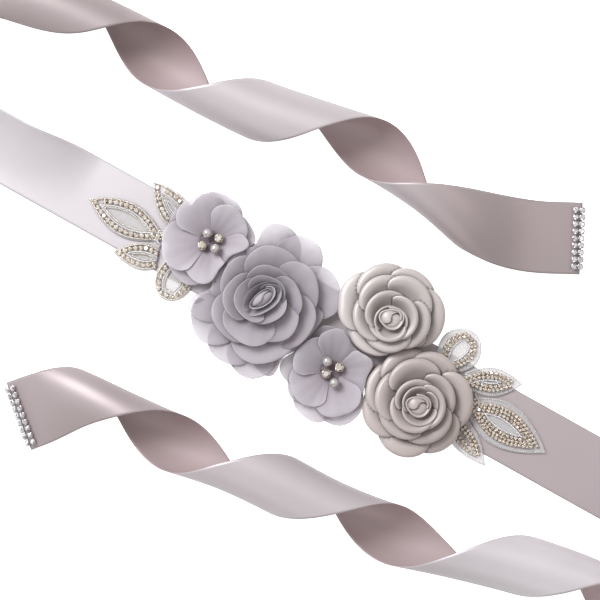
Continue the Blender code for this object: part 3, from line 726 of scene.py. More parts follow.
@dataclass
class Curl:
    """A ribbon wound on a cylinder whose middle line, radius and height change."""

    stations: list[Station]
    fine: float = 1.0 * MM              # between the places that are worked out
    settled: float = 5.5 * MM           # length over which the stations are blended

    def __post_init__(self) -> None:
        """Work out the middle line and its slopes from the stations."""
        table = np.array([(s.x * MM, s.y * MM, s.curl / MM, s.crest * MM, s.turn * math.tau)
                          for s in self.stations])
        along = np.concatenate([[0], np.cumsum(np.hypot(*np.diff(table[:, :2], axis=0).T))])
        slopes = tangents(table, along)
        places = np.linspace(0, along[-1], round(along[-1] / self.fine) + 1)
        k = np.clip(np.searchsorted(along, places) - 1, 0, len(along) - 2)
        length = (along[k + 1] - along[k])[:, None]
        t = (places - along[k])[:, None] / length
        values = ((2 * t ** 3 - 3 * t ** 2 + 1) * table[k]
                  + (3 * t ** 2 - 2 * t ** 3) * table[k + 1]
                  + (t ** 3 - 2 * t ** 2 + t) * length * slopes[k]
                  + (t ** 3 - t ** 2) * length * slopes[k + 1])
        self.values = blend(values, round(self.settled / self.fine))
        self.slopes = np.gradient(self.values, places, axis=0)
        heading = np.hypot(self.slopes[:, 0], self.slopes[:, 1])
        self.lean = np.arctan2(self.slopes[:, 4] / self.values[:, 2], heading)
        pace = heading / np.cos(self.lean)
        gone = np.cumsum((pace[1:] + pace[:-1]) / 2 * np.diff(places))
        self.travel = np.concatenate([[0], gone])

    @property
    def length(self) -> float:
        """Length of ribbon in the curl."""
        return float(self.travel[-1])

    def row(self, s: float, v: np.ndarray) -> np.ndarray:
        """Points across the ribbon at one place.

        Args:
            s: ribbon length from the curl's start.
            v: places across, from the middle.

        Returns:
            The points.
        """
        x, y, curl, crest, turn = (np.interp(s, self.travel, c) for c in self.values.T)
        heading = [np.interp(s, self.travel, self.slopes[:, k]) for k in (0, 1)]
        lean = np.interp(s, self.travel, self.lean)
        forward = unit(np.array([*heading, 0.0]))
        left = np.array([-forward[1], forward[0], 0.0])
        angle = turn + v * math.cos(lean) * curl
        height = np.maximum(crest - (1 - np.cos(angle)) / curl, GROUND_LEVEL)
        middle = np.stack([np.full_like(v, x), np.full_like(v, y), height], 1)
        return (middle - forward * (v * math.sin(lean))[:, None]
                + left * (np.sin(angle) / curl)[:, None])


def fold_over(points: np.ndarray, corner: np.ndarray, crease: np.ndarray,
              beyond: np.ndarray) -> np.ndarray:
    """Fold the plane up and over along a crease.

    Args:
        points: what is folded, near the ground.
        corner: a place on the crease, in plan.
        crease: direction of the crease, in plan.
        beyond: direction from the crease to the side that moves.

    Returns:
        The points, folded.
    """
    offset = points[:, :2] - corner
    u, along = offset @ beyond, offset @ crease
    start = -math.pi * FOLD_RADIUS / 2
    lift = points[:, 2] - GROUND_LEVEL
    angle = (u - start) / FOLD_RADIUS
    held = np.clip(angle, 0.0, math.pi)
    over = angle >= math.pi
    turned_u = np.where(over, -u, start + (FOLD_RADIUS - lift) * np.sin(held))
    turned_lift = np.where(over, 2 * FOLD_RADIUS - lift,
                           FOLD_RADIUS - (FOLD_RADIUS - lift) * np.cos(held))
    moved = corner + along[:, None] * crease + turned_u[:, None] * beyond
    folded = np.column_stack([moved, GROUND_LEVEL + turned_lift])
    return np.where((angle <= 0)[:, None], points, folded)


def make_ribbon(name: str, rows: np.ndarray, marks: list[np.ndarray],
                made: dict[str, Material]) -> Piece:
    """Make a stretch of ribbon with its satin side and its duller back.

    Args:
        name: the node that it replaces.
        rows: its points.
        marks: place across, place along and tone of each point.
        made: materials by name.

    Returns:
        The piece.
    """
    sketch = MeshSketch()
    sketch.add_grid(rows, np.stack(marks, 2))
    thing = sketch.build(name + "_cloth", [made["back"], made["ribbon"]])
    add_wall(thing, RIBBON_CLOTH)
    settle(thing, "ribbon_satin", name)
    return thing


@dataclass
class Tail:
    """A tail of the ribbon: two folds that turn it back, then its curl and cut end."""

    name: str
    turn_x: float
    run: float                          # of ribbon between the two folds
    stations: list[Station]
    turned: bool                        # half a turn of the whole tail about Z
    first_painted_tone: float                   # painted tone where the curl begins
    first: float                        # how far along the curl it has that tone
    tones: tuple[float, float, float] = (1.06, 1.04, 0.77)  # after it, up to the cut end
    change: float = 60 * MM             # length over which the first tone changes
    fade: tuple[float, float] = (110 * MM, 60 * MM)  # from the cut end, to its tone
    ripple: float = 0.005 * MM
    step: float = 1.4 * MM
    curl: Curl = field(init=False)

    def __post_init__(self) -> None:
        """Lay out the curl."""
        self.curl = Curl(self.stations)
        self.folded = 2 * FOLD_LEAD + self.run
        self.length = self.folded + self.curl.length

    def slant(self, s: float) -> float:
        """How far a section of the folded stretch slants, to follow the creases.

        Args:
            s: ribbon length from the waist.

        Returns:
            Change along the ribbon for each step across it.
        """
        half_fold = math.pi * FOLD_RADIUS / math.sqrt(2)
        second = FOLD_LEAD + self.run
        places = [0, FOLD_LEAD - half_fold, FOLD_LEAD + half_fold, second - half_fold,
                  second + half_fold, second + FOLD_LEAD]
        return float(np.interp(s, places, [0, -1, -1, 1, 1, 0]))

    def row(self, s: float, v: np.ndarray) -> np.ndarray:
        """Points across the ribbon at one place.

        Args:
            s: ribbon length from the waist; it may lie beyond the cut end.
            v: places across, from the middle.

        Returns:
            The points.
        """
        if s > self.length:
            end, before = (self.row(place, v) for place in (self.length, self.length - 1 * MM))
            return end + (end - before) * (s - self.length) / (1 * MM)
        if s >= self.folded:
            points = self.curl.row(s - self.folded, v)
        else:
            flat = np.column_stack([self.turn_x + FOLD_LEAD - s - self.slant(s) * v, -v,
                                    np.full_like(v, GROUND_LEVEL)])
            rising = np.array([1, 1]) * math.sqrt(0.5)
            falling = np.array([-1, 1]) * math.sqrt(0.5)
            once = fold_over(flat, np.array([self.turn_x - self.run, 0.0]), rising, falling)
            points = fold_over(once, np.array([self.turn_x, 0.0]), falling, -rising)
        return points * np.array([-1, -1, 1]) if self.turned else points

    def face(self, s: float, v: float) -> np.ndarray:
        """Normal of the ribbon's upper side near its cut end.

        Args:
            s: ribbon length from the waist.
            v: place across, from the middle.

        Returns:
            The normal.
        """
        step = 0.5 * MM
        s = min(max(s, step), self.length - step)
        along = self.row(s + step, np.array([v])) - self.row(s - step, np.array([v]))
        across = self.row(s, np.array([v + step])) - self.row(s, np.array([v - step]))
        normal = unit(np.cross(along, across))[0]
        return normal if normal[2] > 0 else -normal

    def build(self, made: dict[str, Material]) -> None:
        """Make the tail's cloth.

        Args:
            made: materials by name.
        """
        places = np.linspace(0, self.length, round(self.length / self.step) + 1)
        v = RIBBON_WIDTH * (np.arange(RIBBON_CELLS + 1) / RIBBON_CELLS - 0.5)
        rows = np.array([self.row(s, v) for s in places])
        normals = unit(np.cross(np.gradient(rows, axis=1), np.gradient(rows, axis=0)))
        s_grid, v_grid = np.meshgrid(places, v, indexing="ij")
        ripple = self.ripple * (np.sin(v_grid * 330 + 2 * np.sin(s_grid * 12))
                                + 0.8 * np.sin(v_grid * 160 + s_grid * 9 + 1.0))
        # painted light and shade along the tail, through the tone
        start = self.folded + self.first
        knots = (start, start + self.change, *(self.length - place for place in self.fade))
        tone = np.interp(s_grid, knots, (self.first_painted_tone, *self.tones))
        make_ribbon(self.name, rows + normals * ripple[..., None], [v_grid, s_grid, tone],
                    made)


@dataclass
class Waist:
    """The stretch of ribbon that goes round the waist; part of its far edge rolls up."""

    name: str = "ribbon_waist"
    roll: float = 0.7                   # in radians, over the whole width
    rise: tuple[float, float] = (-300.0 * MM, -225.0 * MM)
    fall: tuple[float, float] = (-182.0 * MM, -136.0 * MM)
    flat: float = 0.001                 # roll that is too small to be drawn
    ripple: float = 0.03 * MM
    # painted light along the waist, lighter at the left end and darker at the right
    tone_places: tuple[float, float] = (-120 * MM, 120 * MM)
    tones: tuple[float, float] = (1.16, 0.92)
    step: float = 2.5 * MM

    def row(self, x: float, far: np.ndarray) -> np.ndarray:
        """Points across the ribbon at one place.

        Args:
            x: the place.
            far: 0 at the near edge and 1 at the far one.

        Returns:
            The points.
        """
        rise, fall = (smooth(np.clip((x - low) / (high - low), 0.0, 1.0))
                      for low, high in (self.rise, self.fall))
        roll = self.roll * (rise - fall)
        if roll < self.flat:
            y, lift = RIBBON_WIDTH * (far - 0.5), 0.0 * far
        else:
            radius, angle = RIBBON_WIDTH / roll, roll * far
            y, lift = radius * np.sin(angle) - RIBBON_WIDTH / 2, radius * (1 - np.cos(angle))
        return np.column_stack([np.full_like(far, x), y, GROUND_LEVEL + lift])

    def build(self, made: dict[str, Material]) -> None:
        """Make the waist's cloth.

        Args:
            made: materials by name.
        """
        low, high = UPPER_TURN + FOLD_LEAD, LOWER_TURN - FOLD_LEAD
        places = np.linspace(low, high, round((high - low) / self.step) + 1)
        far = np.arange(RIBBON_CELLS + 1) / RIBBON_CELLS
        rows = np.array([self.row(x, far) for x in places])
        x_grid, v_grid = np.meshgrid(places, RIBBON_WIDTH * (far - 0.5), indexing="ij")
        rows[..., 2] += self.ripple * (np.sin(x_grid * 57 + 1.0) * np.sin(v_grid * 90)
                                       + 0.7 * np.sin(x_grid * 23 + v_grid * 40))
        # painted light, carried as tone
        tone = np.interp(x_grid, self.tone_places, self.tones)
        make_ribbon(self.name, rows, [v_grid, x_grid, tone], made)


# ---------------------------------------------------------------- crystals and beads


CUP = ((0.35, 0.0), (0.8, 0.0), (1.0, 0.25), (1.0, 1.0), (0.9, 1.04))
SEED = ((0.22, -0.55), (0.75, -0.62), (1.0, 0.0), (0.75, 0.62), (0.22, 0.55), (0.22, -0.55))
PRONG = ((0.168, 1.06, 0.2), (0.1512, 1.08, 0.75), (0.1344, 0.98, 1.05), (0.1176, 0.72, 1.22))
PRONG_RIDGE = 0.07                      # how far the middle of a prong stands out and up
METAL_TONE = 0.8


@dataclass(frozen=True)
class CutStone:
    """A faceted stone in a cup with four prongs, for chains, trims and flower middles."""

    radius: float
    height: float
    sides: int = 8
    cup_share: float = 0.55             # of the height that the cup takes
    table: float = 0.52                 # radius of the flat top, as a share of the cup's
    girdle: float = 0.93                # radius of the glass, in the same way

    def corners(self, share: float, turn: float, height: float) -> np.ndarray:
        """Corners round the stone.

        Args:
            share: of the stone's radius, where they are.
            turn: how far round the first one is, in half sides.
            height: where they are.

        Returns:
            One point for each side.
        """
        angles = (np.arange(self.sides) * math.tau + turn * math.pi) / self.sides
        return np.column_stack([share * self.radius * np.cos(angles),
                                share * self.radius * np.sin(angles), 0 * angles + height])

    def facets(self) -> list[np.ndarray]:
        """Work out the facets.

        Returns:
            Corner points of each facet, the table first.
        """
        top = self.corners(self.table, 1, self.height)
        middle = self.corners(self.girdle, 0, self.height * self.cup_share)
        faces = [top]
        for k in range(self.sides):
            faces.append(np.array([middle[k], top[k], top[k - 1]]))
            faces.append(np.array([middle[k], middle[(k + 1) % self.sides], top[k]]))
        return faces

    def draw(self, sketch: MeshSketch, place: Matrix, rng: np.random.Generator) -> None:
        """Draw the stone in slot 0 and its cup in slot 1.

        Args:
            sketch: what to draw into.
            place: where the cup's foot stands, +Z out of the cloth.
            rng: source of the facets' tones.
        """
        turn, shift = np.array(place.to_3x3()).T, np.array(place.translation)
        faces = self.facets()
        # random painted tones per facet, dark reflection to glint; the table is painted lighter
        tones = np.clip(rng.normal(0.55, 0.42, len(faces)), 0.0, 1.0)
        tones[0] = np.clip(rng.normal(0.8, 0.2), 0.3, 1.0)
        for corners, tone in zip(faces, tones):
            sketch.add(corners @ turn + shift, [range(len(corners))], tone, 0, False)
        rim = self.height * self.cup_share
        points, cup = turned_template(CUP, 12, self.radius, rim)
        sketch.add(points @ turn + shift, cup, METAL_TONE, 1)
        for k in range(4):
            angle = math.tau * (k + 0.5) / 4
            out = np.array([math.cos(angle), math.sin(angle), 0.0]) * self.radius
            side = np.array([-out[1], out[0], 0.0])
            rows = [[out * r - side * width + UP * rim * z,
                     out * (r + PRONG_RIDGE) + UP * rim * (z + PRONG_RIDGE),
                     out * r + side * width + UP * rim * z] for width, r, z in PRONG]
            sketch.add_grid(np.array(rows) @ turn + shift, METAL_TONE, 1)


def frame_at(place: np.ndarray, normal: np.ndarray, ahead: np.ndarray) -> Matrix:
    """Placing matrix with +Z along a normal and +X as near as can be to a direction.

    Args:
        place: where it puts the origin.
        normal: direction of +Z.
        ahead: direction near +X.

    Returns:
        The matrix.
    """
    z_axis = Vector(normal).normalized()
    x_axis = (Vector(ahead) - z_axis * Vector(ahead).dot(z_axis)).normalized()
    matrix = Matrix((x_axis, z_axis.cross(x_axis), z_axis)).transposed().to_4x4()
    matrix.translation = Vector(place)
    return matrix


def walk(path: np.ndarray, pitch: float, clearance: float) -> zip:
    """Evenly spaced places along a path, leaving out those too near an earlier one.

    Args:
        path: points of the path.
        pitch: distance between places.
        clearance: least distance between any two places.

    Returns:
        Pairs of a place and the direction of the path there.
    """
    steps = np.linalg.norm(np.diff(path, axis=0), axis=1)
    along = np.concatenate([[0], np.cumsum(steps)])
    stops = np.arange(pitch / 2, along[-1], pitch)
    places, after, before = (
        np.stack([np.interp(stops + shift, along, path[:, k]) for k in range(3)], 1)
        for shift in (0.0, pitch / 4, -pitch / 4))
    kept: list[int] = []
    for k, place in enumerate(places):
        if all(np.linalg.norm(place - places[other]) >= clearance for other in kept):
            kept.append(k)
    return zip(places[kept], unit((after - before)[kept]))


# ---------------------------------------------------------------- leaves


def crowded(count: int) -> np.ndarray:
    """Shares from 0 to 1 in a number of steps, shorter towards both ends."""
    return 0.5 - 0.5 * np.cos(np.pi * np.arange(count + 1) / count)


class Fill(Enum):
    """What lies inside a leaf's chain."""

    OPEN = "bare net"
    BEADED = "lines of seed beads"


@dataclass(frozen=True)
class Leaf:
    """A beaded leaf: net, crystal chains round its edge and lines of seed beads.

    Base, tip, half width and margin are in mm.
    """

    name: str
    base_x: float
    base_y: float
    tip_x: float
    tip_y: float
    half_width: float
    widest: float                       # share of its length where it is widest
    base_share: float                   # of its greatest width that it has at its base
    blunt: float                        # how round its tip is, from 0 to 1
    fill: Fill = Fill.OPEN
    margin: float = 0.7                 # net outside the outer beads, less their radius
    chains: int = 1
    chain_radius: float = 1.45 * MM
    chain_height: float = 1.75 * MM
    chain_step: float = 1.85            # between chains, in stone radii
    stone_lean: float = 0.12            # spread of the stones' lean
    stone_lift: float = 0.25 * MM       # most that a stone stands up
    seed_radius: float = 0.58 * MM
    seed_step: float = 1.9              # between lines of beads, in seed radii
    net: float = 0.25 * MM
    net_cells: tuple[int, int] = (40, 16)
    cover: float = 0.76                 # share of its box that the net covers

    @property
    def length(self) -> float:
        """Length from base to tip, in metres."""
        return math.hypot(self.tip_x - self.base_x, self.tip_y - self.base_y) * MM

    def swell(self, t: float) -> float:
        """Width of the leaf as a share of its greatest width.

        Args:
            t: place along the leaf, from 0 to 1.

        Returns:
            The share.
        """
        if t < self.widest:
            rise = math.sin(math.pi / 2 * t / self.widest)
            return self.base_share + (1 - self.base_share) * rise
        fall = math.cos(math.pi / 2 * (t - self.widest) / (1 - self.widest))
        return max(fall, 0.0) ** (1.0 - 0.5 * self.blunt)

    def laid(self, points: np.ndarray, height: float) -> np.ndarray:
        """Put points of the leaf's own frame in place.

        Args:
            points: in metres; x runs from base to tip.
            height: over the ground.

        Returns:
            The points in the row frame.
        """
        turn = math.atan2(self.tip_y - self.base_y, self.tip_x - self.base_x)
        spin = np.array(Matrix.Rotation(turn, 3, "Z"))
        return points @ spin.T + np.array([self.base_x * MM, self.base_y * MM, height])

    def outline(self, inset: float, height: float) -> np.ndarray:
        """Path round the leaf from base to tip and back.

        Args:
            inset: distance inside the edge; the tip is drawn in as well.
            height: of the path.

        Returns:
            Points in the row frame.
        """
        t = crowded(80)
        widths = np.array([self.half_width * MM * self.swell(share) for share in t]) - inset
        x = np.minimum(t * self.length, self.length - 0.9 * inset)
        shown = int(np.flatnonzero(widths > 0.0)[-1]) + 1
        side = np.column_stack([x, widths, 0.0 * x])[:shown]
        tip = np.array([[x[min(shown, len(x) - 1)], 0.0, 0.0]])
        return self.laid(np.vstack([side, tip, side[::-1] * np.array([1, -1, 1])]), height)

    def sew_beads(self, sketch: MeshSketch, inset: float, slot: int, size: float = 1.0,
                  lift: float = 1.0, pitch: float = 1.35) -> None:
        """Draw a line of seed beads round the leaf.

        Args:
            sketch: what to draw into.
            inset: distance inside the edge.
            slot: material slot of the beads.
            size: radius of a bead, in usual radii, as are the next two.
            lift: of the beads' middles over the net.
            pitch: distance between beads.
        """
        radius = size * self.seed_radius
        points, faces = turned_template(SEED, 9, radius, radius)
        path = self.outline(inset, LEAF_BASE + self.net + lift * self.seed_radius)
        for place, ahead in walk(path, pitch * self.seed_radius, self.seed_radius):
            turn = np.array(frame_at(place, ahead, UP).to_3x3()).T
            sketch.add(points @ turn + place, faces, METAL_TONE, slot)

    def build(self, made: dict[str, Material]) -> None:
        """Make the leaf's net and everything sewn on it.

        Args:
            made: materials by name.
        """
        rng = name_seed(self.name)
        edge = (self.margin + 0.6) * MM
        outer = edge + self.seed_radius + self.chain_radius
        step = self.chain_step * self.chain_radius
        inner = outer + (self.chains - 1) * step + self.chain_radius + self.seed_radius
        net = self.build_net(made)
        stones, beads = MeshSketch(), MeshSketch()
        stone = CutStone(self.chain_radius, self.chain_height)
        for row in range(self.chains):
            path = self.outline(outer + row * step, LEAF_BASE + self.net)
            pitch = (2.08 + 0.05 * row) * self.chain_radius
            for place, ahead in walk(path, pitch, 1.75 * self.chain_radius):
                place[2] += rng.uniform(0.0, 1.0) * self.stone_lift
                up = np.array([*rng.normal(0, self.stone_lean, 2), 1.0])
                stone.draw(stones, frame_at(place, up, ahead), rng)
        chain = stones.build(self.name + "_chain", [made["champagne"], made["cup"]])
        settle(chain, "bead_chain")
        step = self.seed_step * self.seed_radius
        lines = [(edge, 0), (inner, 1), (inner + step, 0)] if self.chains == 1 else [(inner, 1)]
        if self.fill is Fill.BEADED:
            lines += [(inner + step * (k + 1), k % 2) for k in range(1, 5)]
        for inset, slot in lines:
            if inset <= 0.93 * self.half_width * MM:
                self.sew_beads(beads, inset, slot)
        if self.chains > 1:
            self.sew_beads(beads, 0.8 * MM, 1, 0.62, 0.6, 1.9)
        sewn = beads.build(self.name + "_beads", [made["bead"], made["clear_bead"]])
        settle(sewn, "bead_chain")

    def build_net(self, made: dict[str, Material]) -> Piece:
        """Make the net of the leaf.

        Args:
            made: materials by name.

        Returns:
            The net.
        """
        down, over = self.net_cells
        t = crowded(down)
        widths = np.array([max(self.half_width * MM * self.swell(x), 0.5 * MM) for x in t])
        x = np.repeat(t[:, None] * self.length, over + 1, 1)
        y = widths[:, None] * np.linspace(-1, 1, over + 1)
        sag = 0.12 * MM * np.abs(np.sin(x * 900) * np.sin(y * 800))
        rows = self.laid(np.stack([x, y, sag], 2), LEAF_BASE + self.net / 2)
        sketch = MeshSketch()
        sketch.add_grid(rows)
        net = sketch.build(self.name + "_net", [made["net"]])
        add_wall(net, self.net)
        return settle(net, "bead_chain", self.name)


LEAVES = [
    Leaf("leaf_left_1", -85.0, -2.2, -132.6, -3.0, 10.2, 0.50, 0.10, 0.25),
    Leaf("leaf_left_2", -80.0, 10.8, -106.4, 23.2, 8.9, 0.30, 0.75, 0.10, Fill.BEADED),
    Leaf("leaf_left_3", -83.0, -13.6, -107.2, -22.2, 8.0, 0.30, 0.75, 0.10, Fill.BEADED),
    Leaf("leaf_left_4", -69.8, -8.0, -68.8, -31.6, 10.9, 0.50, 0.75, 1.00),
    Leaf("leaf_right_1", 84.0, 9.0, 91.5, 36.4, 12.0, 0.55, 0.30, 1.00, Fill.OPEN, 2.0, 2,
         1.15 * MM),
    Leaf("leaf_right_2", 98.5, 11.0, 127.6, 24.3, 8.3, 0.45, 0.50, 0.25, Fill.BEADED, 1.2, 2,
         1.15 * MM),
    Leaf("leaf_right_3", 107.0, 0.8, 157.6, -2.4, 12.6, 0.42, 0.30, 0.20, Fill.OPEN, 2.0, 3,
         1.08 * MM),
    Leaf("leaf_right_4", 102.5, -12.0, 132.0, -25.4, 7.6, 0.35, 0.75, 0.05, Fill.BEADED, 1.2,
         2, 1.15 * MM)]


# ---------------------------------------------------------------- flowers


@dataclass(frozen=True)
class Handling:
    """How petals of one cloth are made, and how much shade is painted between them."""

    slot: str                           # the material slot
    wall: float                         # thickness as it shows
    shade_beside: tuple[float, float]         # painted shade next to a petal above, and its reach in mm
    around: tuple[float, float]         # the same for the fainter painted shade further out
    shade_at_root: float                      # painted shade at a petal's root
    shade_per_ring: float                       # painted shade added for each ring inside the outer one
    drawn_in: float                     # how far a heart is drawn in to three sides


class Cloth(Enum):
    """What a flower is made of."""

    CHIFFON = Handling("chiffon", 0.22 * MM, (0.7, 1.2), (0.5, 6.0), 0.7, 0.08, 0.06)
    SATIN = Handling("petal_satin", 0.6 * MM, (1.0, 0.6), (0.2, 3.0), 0.4, 0.05, 0.08)


@dataclass(frozen=True)
class Petal:
    """One petal: azimuth and spread in degrees, rim in mm."""

    azimuth: float
    spread: float
    rim_radius: float
    rim_height: float


@dataclass(frozen=True)
class Ring:
    """A ring of petals; lengths in mm."""

    name: str
    shift_x: float                      # of its middle from the flower's
    shift_y: float
    hub_radius: float
    root_height: float
    lobe: float                         # how round a petal is, from 0 to 1
    tilt: float                         # how much higher one side of a petal is than its middle
    roll: float                         # how far the rim rolls down
    opening: float                      # power of the way out from root to rim
    rise: float                         # power of the way up
    petals: tuple[Petal, ...]


def ring(name: str, *rows: float | tuple[float, ...]) -> Ring:
    """Make a ring from its sizes in the order of its fields, and then its petals' rows."""
    sizes = [row for row in rows if not isinstance(row, tuple)]
    return Ring(name, *sizes, tuple(Petal(*row) for row in rows[len(sizes):]))


@dataclass(frozen=True)
class Bud:
    """Folded petals inside a rose's last ring, longer along an axis; lengths in mm."""

    x: float
    y: float
    axis: float                         # in degrees
    narrow: float                       # width across the axis, as a share of the length
    ring: Ring

    def shape(self, points: np.ndarray) -> np.ndarray:
        """Draw in points round the bud's middle across its axis.

        Args:
            points: x, y and z of each.

        Returns:
            The points, drawn in.
        """
        axis = math.radians(self.axis)
        along = np.array([math.cos(axis), math.sin(axis)])
        side = np.array([-along[1], along[0]])
        plan = points[..., :2]
        drawn = (plan @ along)[..., None] * along + (plan @ side)[..., None] * side * self.narrow
        return np.concatenate([drawn, points[..., 2:]], -1)


@dataclass(frozen=True)
class Heart:
    """The wound heart of a rose; lengths in mm."""

    x: float
    y: float
    radius: float
    axis: float                         # in degrees
    narrow: float                       # width across the axis, as a share of the length
    foot: float                         # radius at the foot, as a share of the radius on top
    turns: float
    low: float
    high: float
    hood: float                         # azimuth in degrees of a flap folded over it


@dataclass(frozen=True)
class Cover:
    """Where one flower lies over another, and out to which radius, in mm."""

    upper: str
    lower: str
    radius: float


CHIFFON_ROSE = (
    ring("outer", 0.0, 0.0, 9.0, 4.6, 0.70, 1.4, 1.2, 1.0, 1.3,
         (109, 36, 43.0, 8.8), (79, 31, 42.8, 8.4), (35, 36, 43.2, 8.4), (-7, 34, 40.0, 8.4),
         (-46, 33, 44.0, 8.0), (-72, 33, 43.6, 8.0), (-98, 33, 41.4, 8.4),
         (-130, 34, 42.4, 9.1), (-155, 33, 42.6, 8.8), (174, 34, 39.8, 8.8),
         (143, 34, 36.0, 8.8)),
    ring("second", 0.0, 0.0, 9.0, 8.8, 0.68, 1.6, 1.6, 1.0, 1.2,
         (104, 50, 31.5, 15.8), (45, 50, 32.5, 15.3), (-8, 49, 33.0, 15.1),
         (-61, 50, 36.5, 13.8), (-118, 50, 31.0, 15.3), (165, 50, 28.5, 15.8)),
    ring("third", 0.0, -0.5, 8.0, 12.5, 0.62, 1.5, 1.4, 1.0, 1.1,
         (104, 58, 20.5, 20.8), (33, 58, 22.0, 20.3), (-32, 54, 25.0, 18.8),
         (-92, 56, 27.0, 18.4), (-164, 58, 22.5, 20.4)),
    ring("inner", -0.8, 0.4, 6.5, 16.0, 0.45, 1.3, 0.6, 1.1, 0.9,
         (88, 84, 13.5, 24.0), (-28, 84, 14.5, 22.5), (-140, 84, 15.5, 23.0)))
SATIN_ROSE_A = (
    ring("outer", 0.0, 0.0, 9.0, 5.0, 0.50, 1.9, 5.0, 0.9, 1.2,
         (192, 46, 30.8, 12.4), (138, 46, 26.9, 12.4), (72, 50, 26.4, 12.4),
         (14, 50, 29.6, 12.2), (-46, 48, 27.0, 12.2), (-106, 48, 27.5, 12.2)),
    ring("middle", 0.3, -1.8, 8.0, 10.0, 0.56, 1.9, 5.0, 0.9, 1.2,
         (146, 54, 22.5, 18.6), (70, 56, 24.5, 18.2), (0, 56, 23.0, 18.4),
         (-73, 56, 21.5, 18.2), (-142, 56, 21.5, 18.4)),
    ring("inner", 1.0, -3.6, 7.4, 15.2, 0.56, 1.3, 4.0, 0.9, 1.2,
         (30, 84, 15.0, 23.2), (-92, 84, 13.5, 22.6), (150, 84, 15.5, 23.2)))
SATIN_ROSE_B = (
    ring("outer", 0.0, 0.0, 9.0, 5.0, 0.62, 1.9, 5.0, 0.9, 1.2,
         (140, 44, 29.5, 12.4), (186, 44, 30.0, 12.4), (-134, 42, 31.4, 12.2),
         (-82, 42, 32.2, 12.2), (-33, 44, 30.6, 12.4), (27, 50, 30.5, 12.4),
         (88, 46, 28.5, 12.2)),
    ring("middle", 0.2, -0.6, 8.0, 10.0, 0.56, 1.9, 5.0, 0.9, 1.2,
         (128, 54, 24.5, 18.2), (190, 54, 24.5, 18.6), (-108, 56, 23.5, 18.2),
         (-38, 56, 24.0, 18.2), (45, 58, 21.0, 18.6)),
    ring("inner", 0.6, -2.2, 7.4, 15.2, 0.56, 1.3, 4.0, 0.9, 1.2,
         (135, 84, 14.5, 23.2), (18, 84, 15.5, 23.2), (-102, 84, 16.0, 22.8)))
CHIFFON_FLOWER_A = (
    ring("lower", 0.0, 0.0, 7.0, 4.4, 0.55, 0.8, 0.8, 1.0, 1.2,
         (38, 50, 24.6, 6.4), (107, 48, 27.6, 6.4), (179, 48, 26.0, 6.4),
         (-109, 48, 27.5, 6.4), (-37, 48, 25.5, 6.4)),
    ring("upper", 0.0, 0.0, 7.0, 7.9, 0.50, 1.0, 1.2, 1.0, 1.1,
         (71, 46, 23.6, 11.2), (139, 46, 27.6, 11.2), (-145, 46, 28.0, 10.8),
         (-73, 46, 24.0, 11.2), (-1, 46, 24.0, 11.2)))
CHIFFON_FLOWER_B = (
    ring("lower", 0.0, 0.0, 7.0, 4.4, 0.55, 0.8, 0.8, 1.0, 1.2,
         (-10, 48, 27.0, 6.4), (62, 48, 25.5, 6.4), (128, 48, 25.5, 6.4),
         (-170, 42, 29.2, 6.4), (-124, 38, 26.0, 6.4), (-88, 38, 29.6, 6.4),
         (-46, 40, 30.2, 6.4)),
    ring("upper", 0.0, 0.0, 7.0, 7.9, 0.50, 1.0, 1.2, 1.0, 1.1,
         (26, 46, 25.0, 11.2), (98, 46, 25.0, 11.7), (170, 46, 23.5, 11.2),
         (-118, 46, 25.0, 10.7), (-46, 46, 26.0, 10.7)))
ROSE_BUD = Bud(-21.2, -4.2, 67.0, 0.58, ring(
    "bud", -0.9, 0.5, 7.6, 18.6, 0.35, 1.2, 0.5, 1.0, 1.2,
    (160, 88, 13.0, 24.8), (-20, 88, 13.0, 24.4), (70, 70, 10.8, 25.2)))
SATIN_A_BUD = Bud(46.6, 18.6, 0.0, 1.0, ring(
    "bud", 2.1, -5.9, 7.2, 16.8, 0.60, 1.2, 2.2, 0.9, 1.4,
    (160, 80, 9.5, 22.8), (30, 66, 9.2, 22.4), (-72, 84, 9.8, 22.2)))
SATIN_B_BUD = Bud(82.8, -13.0, 0.0, 1.0, ring(
    "bud", 1.8, -1.3, 7.2, 16.8, 0.60, 1.2, 2.2, 0.9, 1.4,
    (154, 80, 10.6, 22.8), (28, 64, 9.8, 22.4), (-70, 84, 11.6, 22.2)))
COVER_GAP = 0.4                         # between flowers, in mm
COVERS = [Cover("chiffon_rose", "chiffon_flower_a", 29.5),
          Cover("chiffon_rose", "chiffon_flower_b", 33.0),
          Cover("satin_rose_a", "chiffon_rose", 28.5),
          Cover("satin_rose_a", "chiffon_flower_b", 28.5),
          Cover("satin_rose_b", "chiffon_flower_b", 30.5),
          Cover("satin_rose_b", "satin_rose_a", 29.5)]
ROOT_UNDER = 1.6                        # how far roots reach in from the hub's edge, in mm
ROLL_FROM = 0.6                         # share of a petal's length where its rim rolls down
LIGHT_FROM = -61.0                      # azimuth in degrees of the petals painted lightest


def distance_outside(points: np.ndarray, border: np.ndarray) -> np.ndarray:
    """Distance of points in plan from an outline, 0 inside it.

    Args:
        points: x and y of each.
        border: x and y of the outline's corners.

    Returns:
        One number for each point.
    """
    start, end = border, np.roll(border, -1, axis=0)
    step = end - start
    offset = points[..., None, :] - start
    share = (offset * step).sum(-1) / np.maximum((step ** 2).sum(-1), 1e-9)
    apart = offset - np.clip(share, 0, 1)[..., None] * step
    crossing = ((start[:, 1] > points[..., None, 1]) != (end[:, 1] > points[..., None, 1]))
    rise = np.where(step[:, 1] == 0, 1e-9, step[:, 1])
    beyond = offset[..., 0] < step[:, 0] * offset[..., 1] / rise
    inside = (crossing & beyond).sum(-1) % 2 == 1
    return np.where(inside, 0.0, np.sqrt((apart ** 2).sum(-1)).min(-1))


def soften(values: np.ndarray) -> np.ndarray:
    """Round the corners of a petal's rim where another flower cuts it short."""
    padded = np.concatenate([[values[0]] * 2, values, [values[-1]] * 2])
    return np.convolve(padded, [0.1, 0.2, 0.4, 0.2, 0.1], "valid")


